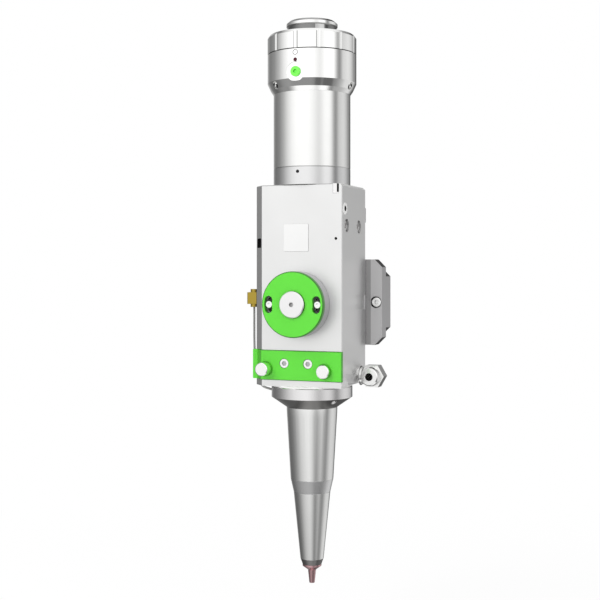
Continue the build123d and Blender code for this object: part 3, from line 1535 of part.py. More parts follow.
# Nozzle flange with the gas plenum on top, its screws and the lead's entry on the left
lead_entry = around_beam(-80, flange_radius, insulator_bottom - flange_rim_height / 2)
with BuildPart() as nozzle_flange:
    tube_socket = upper_tube_spigot_radius + seat_gap
    socket_floor = flange_bottom + upper_tube_spigot_length + seat_gap
    with BuildSketch(beam_section):
        with BuildLine():
            Polyline(
                (tube_socket, flange_bottom),
                (upper_tube_top_radius, flange_bottom),
                (flange_radius, flange_rim_bottom),
                (flange_radius, insulator_bottom),
                (plenum_radius, insulator_bottom),
                (plenum_radius, insulator_bottom - plenum_depth),
                (beam_bore_radius, insulator_bottom - plenum_depth),
                (beam_bore_radius, socket_floor),
                (tube_socket, socket_floor),
                close=True,
            )
        make_face()
    revolve(axis=beam_axis)
    chamfer(nozzle_flange.edges().group_by(Axis.Z)[-1].sort_by(SortBy.RADIUS)[-1], 0.5)
    with BuildSketch(Plane.XY.offset(insulator_bottom)):
        with Locations(*screw_places):
            Circle(flange_screw_radius + seat_gap)
    extrude(amount=-(flange_rim_height + flange_cone_height), mode=Mode.SUBTRACT)
    with BuildSketch(Plane.XY.offset(insulator_bottom - flange_screw_seat)):
        with Locations(*screw_places):
            Circle(flange_screw_head_radius + seat_gap)
    extrude(amount=-(flange_rim_height + flange_cone_height), mode=Mode.SUBTRACT)
    with BuildSketch(lead_entry):
        Circle(lead_radius + seat_gap)
    extrude(amount=-4, mode=Mode.SUBTRACT)
nozzle_flange.part.label = "nozzle_flange"
export_step(nozzle_flange.part, "parts/nozzle_flange.step")

# Screws that hold the flange, driven from below
with BuildPart() as flange_screws:
    screw = cap_screw(
        flange_screw_head_radius, flange_screw_head_height, flange_screw_radius, flange_screw_length
    )
    upward = Plane(origin=(0, 0, insulator_bottom - flange_screw_seat), x_dir=(1, 0, 0), z_dir=(0, 0, -1))
    for x, y in screw_places:
        with Locations(upward * Location((x, -y, 0))):
            add(screw)
flange_screws.part.label = "flange_screws"
export_step(flange_screws.part, "parts/flange_screws.step")

# Upper nozzle tube, tapered inside and out
with BuildPart() as upper_tube:
    with BuildSketch(beam_section):
        with BuildLine():
            Polyline(
                (beam_bore_radius, flange_bottom + upper_tube_spigot_length),
                (upper_tube_spigot_radius, flange_bottom + upper_tube_spigot_length),
                (upper_tube_spigot_radius, flange_bottom),
                (upper_tube_top_radius, flange_bottom),
                (upper_tube_top_radius, flange_bottom - upper_tube_straight),
                (upper_tube_end_radius, upper_tube_bottom),
                (joint_spigot_radius + seat_gap, upper_tube_bottom),
                (joint_spigot_radius + seat_gap, upper_tube_bottom + joint_spigot_length + seat_gap),
                (upper_tube_bore_end, upper_tube_bottom + joint_spigot_length + seat_gap),
                close=True,
            )
        make_face()
    revolve(axis=beam_axis)
upper_tube.part.label = "upper_tube"
export_step(upper_tube.part, "parts/upper_tube.step")

# Joint ring between the two nozzle tubes
with BuildPart() as joint_ring:
    with BuildSketch(beam_section):
        with BuildLine():
            Polyline(
                (joint_bore_radius, upper_tube_bottom + joint_spigot_length),
                (joint_spigot_radius, upper_tube_bottom + joint_spigot_length),
                (joint_spigot_radius, upper_tube_bottom),
                (upper_tube_end_radius, upper_tube_bottom),
                (joint_ring_end_radius, joint_bottom),
                (lower_tube_spigot_radius + seat_gap, joint_bottom),
                (lower_tube_spigot_radius + seat_gap, joint_bottom + lower_tube_spigot_length + seat_gap),
                (joint_bore_radius, joint_bottom + lower_tube_spigot_length + seat_gap),
                close=True,
            )
        make_face()
    revolve(axis=beam_axis)
joint_ring.part.label = "joint_ring"
export_step(joint_ring.part, "parts/joint_ring.step")

# Lower nozzle tube, ending in a bevel
with BuildPart() as lower_tube:
    with BuildSketch(beam_section):
        with BuildLine():
            Polyline(
                (lower_tube_bore_top, joint_bottom + lower_tube_spigot_length),
                (lower_tube_spigot_radius, joint_bottom + lower_tube_spigot_length),
                (lower_tube_spigot_radius, joint_bottom),
                (joint_ring_end_radius, joint_bottom),
                (lower_tube_end_radius, lower_tube_cone_end),
                (lower_tube_tip_radius, lower_tube_bottom),
                (sleeve_radius + seat_gap, lower_tube_bottom),
                (sleeve_radius + seat_gap, lower_tube_bottom + sleeve_length + seat_gap),
                (lower_tube_bore_end, lower_tube_bottom + sleeve_length + seat_gap),
                close=True,
            )
        make_face()
    revolve(axis=beam_axis)
lower_tube.part.label = "lower_tube"
export_step(lower_tube.part, "parts/lower_tube.step")

# Ceramic sleeve that carries the nozzle
with BuildPart() as ceramic_sleeve:
    with BuildSketch(Plane.XY.offset(lower_tube_bottom)):
        with Locations((0, beam_y)):
            Circle(sleeve_radius)
            Circle(nozzle_thread_radius + seat_gap, mode=Mode.SUBTRACT)
    extrude(amount=sleeve_length)
ceramic_sleeve.part.label = "ceramic_sleeve"
export_step(ceramic_sleeve.part, "parts/ceramic_sleeve.step")

# Copper nozzle with its funnel and orifice
with BuildPart() as nozzle:
    with BuildSketch(beam_section):
        with BuildLine():
            Polyline(
                (nozzle_funnel_radius, nozzle_top),
                (nozzle_thread_radius, nozzle_top),
                (nozzle_thread_radius, lower_tube_bottom - seat_gap),
                (nozzle_flange_radius, lower_tube_bottom - seat_gap),
                (nozzle_flange_radius, nozzle_shoulder_z),
                (nozzle_neck_radius, nozzle_neck_z),
                (nozzle_tip_radius, nozzle_bottom),
                (nozzle_orifice_radius, nozzle_bottom),
                (nozzle_orifice_radius, nozzle_bottom + nozzle_orifice_length),
                close=True,
            )
        make_face()
    revolve(axis=beam_axis)
nozzle.part.label = "nozzle"
export_step(nozzle.part, "parts/nozzle.step")

# Sealing washer under the gas elbow
gas_port_plane = right_plane * Location((beam_y + gas_leg_y, gas_z, 0))
with BuildPart() as gas_washer:
    with BuildSketch(Plane(gas_port_plane)):
        Circle(gas_washer_radius)
        Circle(gas_leg_bore, mode=Mode.SUBTRACT)
    extrude(amount=gas_washer_thickness)
gas_washer.part.label = "gas_washer"
export_step(gas_washer.part, "parts/gas_washer.step")

# Gas elbow: a short leg out of the side into a hexagonal body that turns to the front
with BuildPart() as gas_elbow:
    leg_start = body_right + gas_washer_thickness
    hex_front_y = beam_y + gas_leg_y - gas_hex_length / 2
    with BuildSketch(Plane.YZ.offset(leg_start)):
        with Locations((beam_y + gas_leg_y, gas_z)):
            Circle(gas_leg_radius)
    extrude(amount=gas_nose_x - gas_nose_radius - free_gap - leg_start)
    with BuildSketch(Plane.XZ.offset(-hex_front_y)):
        with Locations((gas_nose_x, gas_z)):
            RegularPolygon(gas_hex_flats / 2, 6, major_radius=False)
    extrude(amount=-gas_hex_length)
    with BuildSketch(Plane.XZ.offset(-hex_front_y)):
        with Locations((gas_nose_x, gas_z)):
            Circle(gas_hose_radius)
    extrude(amount=-(gas_hex_length / 2 + gas_leg_bore), mode=Mode.SUBTRACT)
    with BuildSketch(Plane.YZ.offset(leg_start)):
        with Locations((beam_y + gas_leg_y, gas_z)):
            Circle(gas_leg_bore)
    extrude(amount=gas_nose_x - leg_start, mode=Mode.SUBTRACT)
gas_elbow.part.label = "gas_elbow"
export_step(gas_elbow.part, "parts/gas_elbow.step")

# Collet that grips the gas hose
with BuildPart() as gas_collet:
    gas_axis = Axis((gas_nose_x, 0, gas_z), (0, 1, 0))
    collet_back = hex_front_y - seat_gap
    collet_plane = Plane(origin=(gas_nose_x, collet_back, gas_z), x_dir=(1, 0, 0), z_dir=(0, 0, 1))
    with BuildSketch(collet_plane):
        with BuildLine():
            Polyline(
                (gas_hose_radius, 0),
                (gas_nose_radius, 0),
                (gas_nose_radius, -gas_nose_collar),
                (gas_nose_front_radius, gas_nose_chamfer - gas_nose_length),
                (gas_nose_front_radius - gas_nose_chamfer, -gas_nose_length),
                (gas_hose_radius, -gas_nose_length),
                close=True,
            )
        make_face()
    revolve(axis=gas_axis)
gas_collet.part.label = "gas_collet"
export_step(gas_collet.part, "parts/gas_collet.step")

# Sensor jack: a square flange on the left side with a short threaded barrel
with BuildPart() as sensor_jack:
    jack_center = (-(beam_y + jack_depth_place), jack_z)
    with BuildSketch(left_plane):
        with Locations(jack_center):
            Rectangle(jack_flange, jack_flange)
    extrude(amount=jack_flange_thickness)
    chamfer(sensor_jack.edges().filter_by(Axis.X), plug_chamfer)
    with BuildSketch(left_plane):
        with Locations(jack_center):
            Circle(jack_radius)
    extrude(amount=jack_flange_thickness + jack_reach)
    with BuildSketch(left_plane):
        with Locations(jack_center):
            Circle(jack_radius)
    extrude(amount=-jack_thread_length)
sensor_jack.part.label = "sensor_jack"
export_step(sensor_jack.part, "parts/sensor_jack.step")

# Right-angled sensor plug: block, coupling nut and the stubs above and below
with BuildPart() as sensor_plug:
    plug_y = beam_y + jack_depth_place
    plug_bottom = jack_z - plug_height / 2
    plug_right = plug_axis_x + plug_width / 2
    nut_right = -body_left - jack_flange_thickness - plug_nut_gap
    with BuildSketch(Plane.XY.offset(plug_bottom)):
        with Locations((plug_axis_x, plug_y)):
            Rectangle(plug_width, plug_depth)
    extrude(amount=plug_height)
    chamfer(sensor_plug.edges().filter_by(Axis.Z), plug_chamfer)
    with BuildSketch(Plane.XY.offset(plug_bottom - plug_bottom_stub)):
        with Locations((plug_axis_x, plug_y)):
            Circle(plug_stub_radius)
    extrude(amount=plug_height + plug_bottom_stub + plug_top_stub)
    with BuildSketch(Plane.YZ.offset(plug_right)):
        with Locations((plug_y, jack_z)):
            RegularPolygon(plug_nut_flats / 2, 6, major_radius=False)
    extrude(amount=nut_right - plug_right)
    with BuildSketch(Plane.YZ.offset(nut_right)):
        with Locations((plug_y, jack_z)):
            Circle(jack_radius + seat_gap)
    extrude(amount=-(jack_reach + seat_gap), mode=Mode.SUBTRACT)
sensor_plug.part.label = "sensor_plug"
export_step(sensor_plug.part, "parts/sensor_plug.step")

# Sensor lead: down the left side, round under the block and into the flange
entry = lead_entry.origin
lead_points = [
    (plug_axis_x, plug_y, plug_bottom - plug_bottom_stub),
    (plug_axis_x, plug_y, plug_bottom - plug_bottom_stub - lead_drop),
    (plug_axis_x + lead_turn_right, plug_y - lead_turn_forward, lead_turn_z),
    (plug_axis_x + lead_low_right, plug_y - lead_low_forward, lead_low_z),
    (entry.X - lead_end_left, plug_y - lead_end_forward, entry.Z + lead_end_rise),
    (entry.X, entry.Y, entry.Z),
]


def bend_radii(points):
    """The radius of each corner's arc: 0.45 of its shorter run over the tangent of half its turn."""
    radii = []
    for before, corner, after in zip(points, points[1:], points[2:]):
        run_in = Vector(*corner) - Vector(*before)
        run_out = Vector(*after) - Vector(*corner)
        half_turn = radians(run_in.get_angle(run_out)) / 2
        radii.append(0.45 * min(run_in.length, run_out.length) * cos(half_turn) / sin(half_turn))
    return radii


lead_radii = bend_radii(lead_points)
print("lead bend radii", [round(r, 1) for r in lead_radii])
with BuildPart() as sensor_lead:
    with BuildLine() as lead_path:
        FilletPolyline(*lead_points, radius=lead_radii)
    with BuildSketch(Plane(origin=lead_points[0], z_dir=(0, 0, -1))):
        Circle(lead_radius)
    sweep()
lead_length = sum(edge.length for edge in lead_path.edges())
print("lead length", round(lead_length, 1), "volume", round(sensor_lead.part.volume, 1),
      "section times length", round(pi * lead_radius**2 * lead_length, 1))
sensor_lead.part.label = "sensor_lead"
export_step(sensor_lead.part, "parts/sensor_lead.step")
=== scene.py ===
# %% [markdown]
# A laser cutting head in a pale studio. Nearly all of it is bare metal: polished turned tubes,
# a bead-blasted block and a few green anodised pieces. Metal has hardly any colour of its own, so
# most of the look comes from what it mirrors, and the studio is built as carefully as the pieces.
#
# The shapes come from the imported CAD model. A CAD mesh is loose triangles with flat shading, which
# would show as facets in a polished tube, so each visible piece is made again with clean, smooth
# faces and softened edges, and stands for its CAD node.

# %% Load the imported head
import json
from math import atan2, cos, degrees, pi, radians, sin, sqrt

import bmesh
import bpy
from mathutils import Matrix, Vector
from mathutils.bvhtree import BVHTree


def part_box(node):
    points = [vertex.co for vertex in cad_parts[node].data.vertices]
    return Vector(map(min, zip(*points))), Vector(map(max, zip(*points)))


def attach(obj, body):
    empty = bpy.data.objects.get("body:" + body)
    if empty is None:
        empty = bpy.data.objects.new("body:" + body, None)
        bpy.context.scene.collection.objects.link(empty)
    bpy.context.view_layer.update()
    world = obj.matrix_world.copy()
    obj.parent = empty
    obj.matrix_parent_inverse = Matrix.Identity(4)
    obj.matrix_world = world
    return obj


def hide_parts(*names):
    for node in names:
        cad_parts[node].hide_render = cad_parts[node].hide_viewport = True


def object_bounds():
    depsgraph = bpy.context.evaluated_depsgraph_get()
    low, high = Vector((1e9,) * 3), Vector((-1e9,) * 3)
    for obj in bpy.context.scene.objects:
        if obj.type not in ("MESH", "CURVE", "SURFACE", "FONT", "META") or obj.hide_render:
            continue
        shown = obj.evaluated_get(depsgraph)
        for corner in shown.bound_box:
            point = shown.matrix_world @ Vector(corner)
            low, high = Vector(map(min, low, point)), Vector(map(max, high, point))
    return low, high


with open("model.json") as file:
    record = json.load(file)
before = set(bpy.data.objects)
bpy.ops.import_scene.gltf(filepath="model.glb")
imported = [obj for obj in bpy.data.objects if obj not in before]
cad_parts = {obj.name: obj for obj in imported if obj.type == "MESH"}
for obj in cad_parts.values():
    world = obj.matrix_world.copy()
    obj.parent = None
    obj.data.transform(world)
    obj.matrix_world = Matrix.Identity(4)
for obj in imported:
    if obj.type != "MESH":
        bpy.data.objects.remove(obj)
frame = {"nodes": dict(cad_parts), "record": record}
nodes = frame["nodes"]
record = frame["record"]
cad_lowest, cad_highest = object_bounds()
bodies = record["behaviour"]["bodies"]
body_of_node = {node: body for body, members in bodies.items() for node in members}
slot_of_node = {part["node"]: part["material_slot"] for part in record["subparts"]}
print("height", round(cad_highest.z - cad_lowest.z, 4), "m in", len(nodes), "nodes")

# %% [markdown]
# Everything on the head is placed from one line, the beam axis. Its place is read from the tube's
# box rather than typed, so the scene follows the CAD model if that changes.

# %% Find the beam axis and the dial axis
mm = 0.001
tube_low, tube_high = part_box("collimator_tube")
beam_x = (tube_low.x + tube_high.x) / 2
beam_y = (tube_low.y + tube_high.y) / 2
dial_low, dial_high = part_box("dial_face")
dial_x = (dial_low.x + dial_high.x) / 2
dial_z = (dial_low.z + dial_high.z) / 2
print("beam axis at y", round(beam_y, 4), "dial axis at z", round(dial_z, 4))

# %% [markdown]
# The photograph was taken with a level camera, a little to the right of the front. A level camera
# keeps upright edges upright, so the framing is done with a small lens shift instead of a tilt.

# %% Place the camera
camera_azimuth = radians(21.5)
camera_distance = 0.861
camera_height = 0.026
focal_pixels = 1100
picture_width = 600
axis_column = 312.05
horizon_row = 270

camera_data = bpy.data.cameras.new("camera")
camera = bpy.data.objects.new("camera", camera_data)
bpy.context.collection.objects.link(camera)
bpy.context.scene.camera = camera
camera_data.sensor_width = 36
camera_data.lens = focal_pixels / picture_width * camera_data.sensor_width
camera_data.shift_x = (picture_width / 2 - axis_column) / picture_width
camera_data.shift_y = (horizon_row - picture_width / 2) / picture_width
camera.location = (
    beam_x + camera_distance * sin(camera_azimuth),
    beam_y - camera_distance * cos(camera_azimuth),
    camera_height,
)
camera.rotation_euler = (pi / 2, 0, camera_azimuth)
print("lens", round(camera_data.lens, 1), "mm")

# %% [markdown]
# Shader maths reads best as plain arithmetic. One small class wraps an output socket, so that an
# expression such as `1 - mask` adds the Math node itself.

# %% A value that varies over a surface
class Varying:
    """An output socket that takes part in arithmetic."""

    def __init__(self, net, socket):
        self.net = net
        self.socket = socket

    def output(self, name):
        """Another output of the same node."""
        return Varying(self.net, self.socket.node.outputs[name])

    def math(self, operation, first, second):
        """A Math node on two values."""
        return self.net.node("ShaderNodeMath", {"operation": operation}, {0: first, 1: second})

    def __add__(self, other):
        return self.math("ADD", self, other)

    def __radd__(self, other):
        return self.math("ADD", other, self)

    def __sub__(self, other):
        return self.math("SUBTRACT", self, other)

    def __rsub__(self, other):
        return self.math("SUBTRACT", other, self)

    def __mul__(self, other):
        return self.math("MULTIPLY", self, other)

    def __rmul__(self, other):
        return self.math("MULTIPLY", other, self)

    def __truediv__(self, other):
        return self.math("DIVIDE", self, other)

    def __pow__(self, other):
        return self.math("POWER", self, other)

    def at_most(self, other):
        return self.math("MINIMUM", self, other)

    def at_least(self, other):
        return self.math("MAXIMUM", self, other)


print("values that vary can be added, multiplied and compared")

# %% [markdown]
# Another small class wraps a node tree. Its one method `node` makes any node: it takes the node's
# type, its settings and the values or links of its inputs, and gives back the node's output.

# %% A node tree that makes its own nodes
class Net:
    """The node tree of a material or of the world."""

    def __init__(self, tree):
        self.tree = tree

    def plug(self, socket, value):
        """Link a Varying to an input, or write a plain value on it."""
        if isinstance(value, Varying):
            self.tree.links.new(value.socket, socket)
        else:
            socket.default_value = value

    def node(self, kind, settings=None, inputs=None, output=0):
        """A new node, of which one output is given back if it has any."""
        made = self.tree.nodes.new(kind)
        for name, value in (settings or {}).items():
            if name == "stops":
                self.fill_ramp(made.color_ramp, value)
            else:
                setattr(made, name, value)
        for name, value in (inputs or {}).items():
            self.plug(made.inputs[name], value)
        return Varying(self, made.outputs[output]) if made.outputs else None

    def fill_ramp(self, ramp, stops):
        """Give a ramp its grey tones."""
        while len(ramp.elements) < len(stops):
            ramp.elements.new(1)
        for element, (place, tone) in zip(ramp.elements, stops):
            element.position = place
            element.color = (tone, tone, tone, 1)

    def place(self, coordinates="Object"):
        """A vector, and the same vector as three numbers."""
        vector = self.node("ShaderNodeTexCoord", output=coordinates)
        split = self.node("ShaderNodeSeparateXYZ", {}, {0: vector})
        return vector, [split.output(axis) for axis in "XYZ"]

    def mix(self, factor, first, second):
        """A colour between two colours."""
        inputs = {0: factor, 6: first, 7: second}
        return self.node("ShaderNodeMix", {"data_type": "RGBA"}, inputs, output=2)


print("a net can make nodes, ramps, places and mixes")

# %% [markdown]
# A product photographer hangs white cloth in front of polished metal and black flags beside it. The
# tube then shows one broad bright field with dark edges, which is what makes it look round. Here the
# cloth and the flags are painted on the world by direction, for mirrored rays only. To the camera the
# background is plain white, and for soft light the world is an even grey.
#
# Three strips are painted, each running once round the horizon, with angles in degrees counted from
# the photographer's place to the right: one for level rays, one for rays that go gently down and one
# for steep ones. Between them the studio fades from one strip to the next.

# %% Paint the strip for level rays
level_strip = (
    (-180, 0.50),
    (-162, 0.52),
    (-148, 0.26),
    (-136, 0.20),
    (-113, 0.28),
    (-94, 0.50),
    (-77, 0.86),
    (-62, 1.10),
    (-49, 1.22),
    (-11, 1.22),
    (4, 1.10),
    (14, 0.96),
    (20, 0.90),
    (26, 0.96),
    (38, 1.18),
    (51, 1.20),
    (59, 1.02),
    (64, 0.68),
    (70, 0.36),
    (76, 0.28),
    (81, 0.45),
    (87, 0.68),
    (106, 0.80),
    (116, 0.72),
    (124, 0.58),
    (134, 0.34),
    (149, 0.24),
    (156, 0.10),
    (166, 0.12),
    (174, 0.40),
    (180, 0.50),
)
print("the level strip has", len(level_strip), "tones")

# %% Paint the strip for rays that go gently down
low_strip = (
    (-180, 0.40),
    (-162, 0.38),
    (-148, 0.16),
    (-130, 0.12),
    (-101, 0.18),
    (-80, 0.32),
    (-60, 0.57),
    (-45, 0.72),
    (-30, 0.83),
    (-15, 0.90),
    (0, 0.72),
    (14, 0.38),
    (22, 0.30),
    (32, 0.42),
    (45, 0.54),
    (55, 0.38),
    (62, 0.30),
    (72, 0.28),
    (80, 0.40),
    (101, 0.72),
    (122, 0.76),
    (139, 0.70),
    (149, 0.30),
    (156, 0.08),
    (166, 0.10),
    (174, 0.32),
    (180, 0.40),
)
print("the low strip has", len(low_strip), "tones")

# %% Paint the strip for steep rays
steep_strip = (
    (-180, 0.30),
    (-160, 0.28),
    (-131, 0.20),
    (-100, 0.28),
    (-60, 0.28),
    (-2, 0.28),
    (6, 0.24),
    (12, 0.14),
    (24, 0.13),
    (30, 0.20),
    (36, 0.13),
    (60, 0.13),
    (66, 0.24),
    (80, 0.34),
    (110, 0.50),
    (130, 0.46),
    (150, 0.22),
    (180, 0.30),
)
print("the steep strip has", len(steep_strip), "tones")

# %% [markdown]
# A ray's direction comes as a vector. Seen from above, the angle between it and the photographer's
# direction says which tone of a strip it meets, and its height says which strip. A colour ramp runs
# from 0 to 1, so both angles are scaled to that range.

# %% Measure where a mirrored ray goes
world = bpy.data.worlds.new("studio")
bpy.context.scene.world = world
world.use_nodes = True
world.node_tree.nodes.clear()
studio = Net(world.node_tree)
_, (east, north, up) = studio.place("Generated")
ahead_x = sin(camera_azimuth)
ahead_y = -cos(camera_azimuth)
nearer = east * ahead_x + north * ahead_y
rightward = north * ahead_x - east * ahead_y
heading = studio.node("ShaderNodeMath", {"operation": "ARCTAN2"}, {0: rightward, 1: nearer})
climb = studio.node("ShaderNodeMath", {"operation": "ARCSINE"}, {0: up})
turn = heading / (2 * pi) + 0.5
rise = climb / pi + 0.5
print("the photographer looks from", round(degrees(camera_azimuth), 1), "degrees")

# %% [markdown]
# The height of a ray then chooses between the strips. Below the steep strip lies a pale table that
# mirrors the level strip, so the head looks as round from above as it does from the side. High up
# hangs a white ceiling.

# %% Hang the strips at their heights
brightest = 1.25
table_tone = 0.92
ceiling_tone = 1.0
heights = {
    "low": ((-90, 1), (-18, 1), (8, 0), (90, 0)),
    "steep": ((-90, 1), (-34, 1), (-22, 0), (90, 0)),
    "table": ((-90, 1), (-51, 1), (-43, 0), (90, 0)),
    "ceiling": ((-90, 0), (45, 0), (65, 1), (90, 1)),
}


def painted(strip):
    """The tone of one strip in the direction of a ray."""
    stops = [((angle + 180) / 360, tone / brightest) for angle, tone in strip]
    return studio.node("ShaderNodeValToRGB", {"stops": stops}, {0: turn}) * brightest


def at_height(name):
    """How much of a strip a ray sees at its height."""
    stops = [((angle + 90) / 180, share) for angle, share in heights[name]]
    return studio.node("ShaderNodeValToRGB", {"stops": stops}, {0: rise})


def over(under, upper, share):
    """One tone laid over another."""
    return under + (upper - under) * share


mirrored = over(painted(level_strip), painted(low_strip), at_height("low"))
mirrored = over(mirrored, painted(steep_strip), at_height("steep"))
mirrored = over(mirrored, painted(level_strip) * table_tone, at_height("table"))
mirrored = over(mirrored, ceiling_tone, at_height("ceiling"))
print("the studio is painted from", len(studio.tree.nodes), "nodes")

# %% [markdown]
# The Light Path node tells what a ray came from. A mirrored ray gets the painted studio, a ray from
# the camera or through glass gets plain white, and any other ray is soft light of one even tone.

# %% Show the studio to mirrored rays only
ambient = 0.62
seen = studio.node("ShaderNodeLightPath", output="Is Camera Ray")
glossy = seen.output("Is Glossy Ray")
through = seen.output("Is Transmission Ray")
plain = seen.at_least(through)
strength = plain + glossy * mirrored + (1 - plain.at_least(glossy)) * ambient
background = studio.node("ShaderNodeBackground", {}, {"Color": (1, 1, 1, 1), "Strength": strength})
studio.node("ShaderNodeOutputWorld", {}, {"Surface": background})
print("soft light at", ambient, "of white")

# %% [markdown]
# The head hangs from its back plate, so the floor lies a little below the nozzle. It catches the soft
# shadow that the lamps throw. Mirrored rays pass it, because the painted studio already has its own
# lower half.

# %% Lay the floor
floor_drop = 50 * mm
floor_size = 12
floor_mesh = bpy.data.meshes.new("floor")
grid = bmesh.new()
bmesh.ops.create_grid(grid, x_segments=1, y_segments=1, size=floor_size)
bmesh.ops.translate(grid, verts=grid.verts, vec=(0, 0, cad_lowest.z - floor_drop))
grid.to_mesh(floor_mesh)
grid.free()
floor = bpy.data.objects.new("floor", floor_mesh)
bpy.context.collection.objects.link(floor)
floor.visible_glossy = False
print("the floor lies", round(floor_drop / mm), "mm below the nozzle")

# %% [markdown]
# In such a picture the floor and the background are one white. So what the camera sees of the floor
# is mostly a white glow, with a share of real paint near the head to keep the shadow. Further away
# that share fades out, and no horizon shows.

# %% Paint the floor white
shadow_share = 0.18
shadow_radius = 100 * mm
fade_length = 500 * mm
floor_material = bpy.data.materials.new("floor_white")
floor_material.use_nodes = True
floor_material.node_tree.nodes.clear()
floor_net = Net(floor_material.node_tree)
_, (floor_x, floor_y, _) = floor_net.place()
away = ((floor_x - beam_x) ** 2 + (floor_y - beam_y) ** 2) ** 0.5
faded = ((away - shadow_radius) / fade_length).at_least(0).at_most(1)
floor_seen = floor_net.node("ShaderNodeLightPath", output="Is Camera Ray")
glow_share = floor_seen * (faded * shadow_share + (1 - shadow_share))
paint = floor_net.node("ShaderNodeBsdfDiffuse", {}, {"Color": (0.95, 0.95, 0.95, 1)})
glow = floor_net.node("ShaderNodeEmission", {}, {"Color": (1, 1, 1, 1), "Strength": 1.0})
blend = floor_net.node("ShaderNodeMixShader", {}, {0: glow_share, 1: paint, 2: glow})
floor_net.node("ShaderNodeOutputMaterial", {}, {"Surface": blend})
floor_mesh.materials.append(floor_material)
print("the shadow fades out over", round(fade_length / mm), "mm")

# %% [markdown]
# Three large soft lamps: a key from the front left and above, a weaker fill from the right and one
# behind, so that the back is lit as well when the head is turned. Mirrored rays don't see them,
# because the studio is already painted with its bright fields.

# %% Hang the lamps
def soft_lamp(name, azimuth, elevation, distance, size, power):
    """A round lamp that points at the head from the given direction."""
    data = bpy.data.lights.new(name, "AREA")
    data.shape = "DISK"
    data.size = size
    data.energy = power
    lamp = bpy.data.objects.new(name, data)
    bpy.context.collection.objects.link(lamp)
    around = radians(azimuth)
    above = radians(elevation)
    towards = Vector((sin(around) * cos(above), -cos(around) * cos(above), sin(above)))
    lamp.location = Vector((beam_x, beam_y, 0)) + towards * distance
    lamp.rotation_mode = "QUATERNION"
    lamp.rotation_quaternion = towards.to_track_quat("Z", "Y")
    lamp.visible_glossy = False
    print(name, "lamp of", power, "W from", azimuth, "degrees")


soft_lamp("key", -30, 38, 1.6, 1.1, 14)
soft_lamp("fill", 62, 12, 1.8, 1.2, 5)
soft_lamp("rear", 175, 30, 1.8, 1.2, 8)

# %% [markdown]
# Now the finishes. No real metal is one flat colour: it has faint clouds and a grain, which make both
# its tone and its sheen wander a little. Each finish below is built from the same few helpers.

# %% Helpers for the finishes
def principled(name):
    """A new material, its node net and its shader."""
    material = bpy.data.materials.new(name)
    material.use_nodes = True
    net = Net(material.node_tree)
    return material, net, material.node_tree.nodes["Principled BSDF"]


def noise(net, point, scale, detail, roughness):
    """Soft random values from 0 to 1 at a point."""
    inputs = {"Vector": point, "Scale": scale, "Detail": detail, "Roughness": roughness}
    return net.node("ShaderNodeTexNoise", {}, inputs)


def toned(net, share, colour, lightest, darkest):
    """The colour, as light as lightest where the share is 0 and as dark as darkest where it is 1."""
    light, dark = [[part * tone for part in colour] + [1] for tone in (lightest, darkest)]
    return net.mix(share, light, dark)


def spread(average, *patterns):
    """A value that patterns from 0 to 1 push up and down by their amounts, around its average."""
    value = average - sum(amount for _, amount in patterns) / 2
    for pattern, amount in patterns:
        value = pattern * amount + value
    return value


def set_up(net, shader, colour, roughness, metallic=1.0):
    """Give a shader its colour, its roughness and how metallic it is."""
    net.plug(shader.inputs["Base Color"], colour)
    net.plug(shader.inputs["Roughness"], roughness)
    net.plug(shader.inputs["Metallic"], metallic)


def bumped(net, shader, relief, depth):
    """Raise the surface by up to depth metres where the relief is 1."""
    inputs = {"Strength": 1.0, "Distance": depth, "Height": relief}
    net.plug(shader.inputs["Normal"], net.node("ShaderNodeBump", {}, inputs))


print("helpers for grain, tone and sheen are ready")

# %% [markdown]
# A turned surface carries very fine rings, because the tool leaves a spiral at each pass. The rings
# run round the axis, so they are drawn from the distance to that axis plus the distance along it.
# They only disturb the surface by microns, yet they give the metal its sheen.

# %% Turned metal
ring_pitch = 0.25 * mm
ring_depth = 0.0012 * mm


def turned_metal(name, colour, roughness, axis, centre):
    """Metal from a lathe, with rings about an axis through the centre."""
    material, net, shader = principled(name)
    point, (x, y, z) = net.place()
    second, along = (y, z) if axis == "Z" else (z, y)
    first = x - centre[0]
    second = second - centre[1]
    from_axis = (first * first + second * second) ** 0.5
    rings = net.node(
        "ShaderNodeTexNoise",
        {"noise_dimensions": "1D"},
        {"W": (from_axis + along) / ring_pitch, "Scale": 1.0, "Detail": 3.0, "Roughness": 0.6},
    )
    cloud = noise(net, point, 90.0, 3.0, 0.55)
    shade = toned(net, rings * 0.35 + cloud * 0.25, colour, 1.03, 0.93)
    set_up(net, shader, shade, spread(roughness, (cloud, 0.06), (rings, 0.05)))
    bumped(net, shader, rings, ring_depth)
    return material


print("rings", ring_pitch / mm, "mm apart")

# %% [markdown]
# The block is milled, then blasted with fine beads and anodised without dye. That leaves an even,
# slightly sparkling grain with no direction, and it scatters what it mirrors, so the front looks
# almost like pale paint.

# %% Blasted aluminium
bead_size = 0.16 * mm


def blasted_metal(name, colour, roughness, depth=0.004 * mm, metallic=1.0):
    """Metal with a fine grain that has no direction."""
    material, net, shader = principled(name)
    point, _ = net.place()
    beads = noise(net, point, 1 / bead_size, 2.0, 0.7)
    stain = noise(net, point, 35.0, 4.0, 0.5)
    shade = toned(net, stain * 0.6 + beads * 0.2, colour, 1.02, 0.95)
    set_up(net, shader, shade, spread(roughness, (stain, 0.08), (beads, 0.06)), metallic)
    bumped(net, shader, beads, depth)
    return material


print("beads", bead_size / mm, "mm across")

# %% [markdown]
# Dyed anodising is a clear, coloured skin on the metal. In a bright room it looks like a deep, even
# paint with a faint grain, so it is made from an ordinary colour under a thin clear coat. Enamel,
# rubber and plastic are made the same way, with less coat. The lenses are of clear glass.

# %% Dyed skin and glass
grain_size = 0.2 * mm
grain_depth = 0.002 * mm
coat_roughness = 0.18


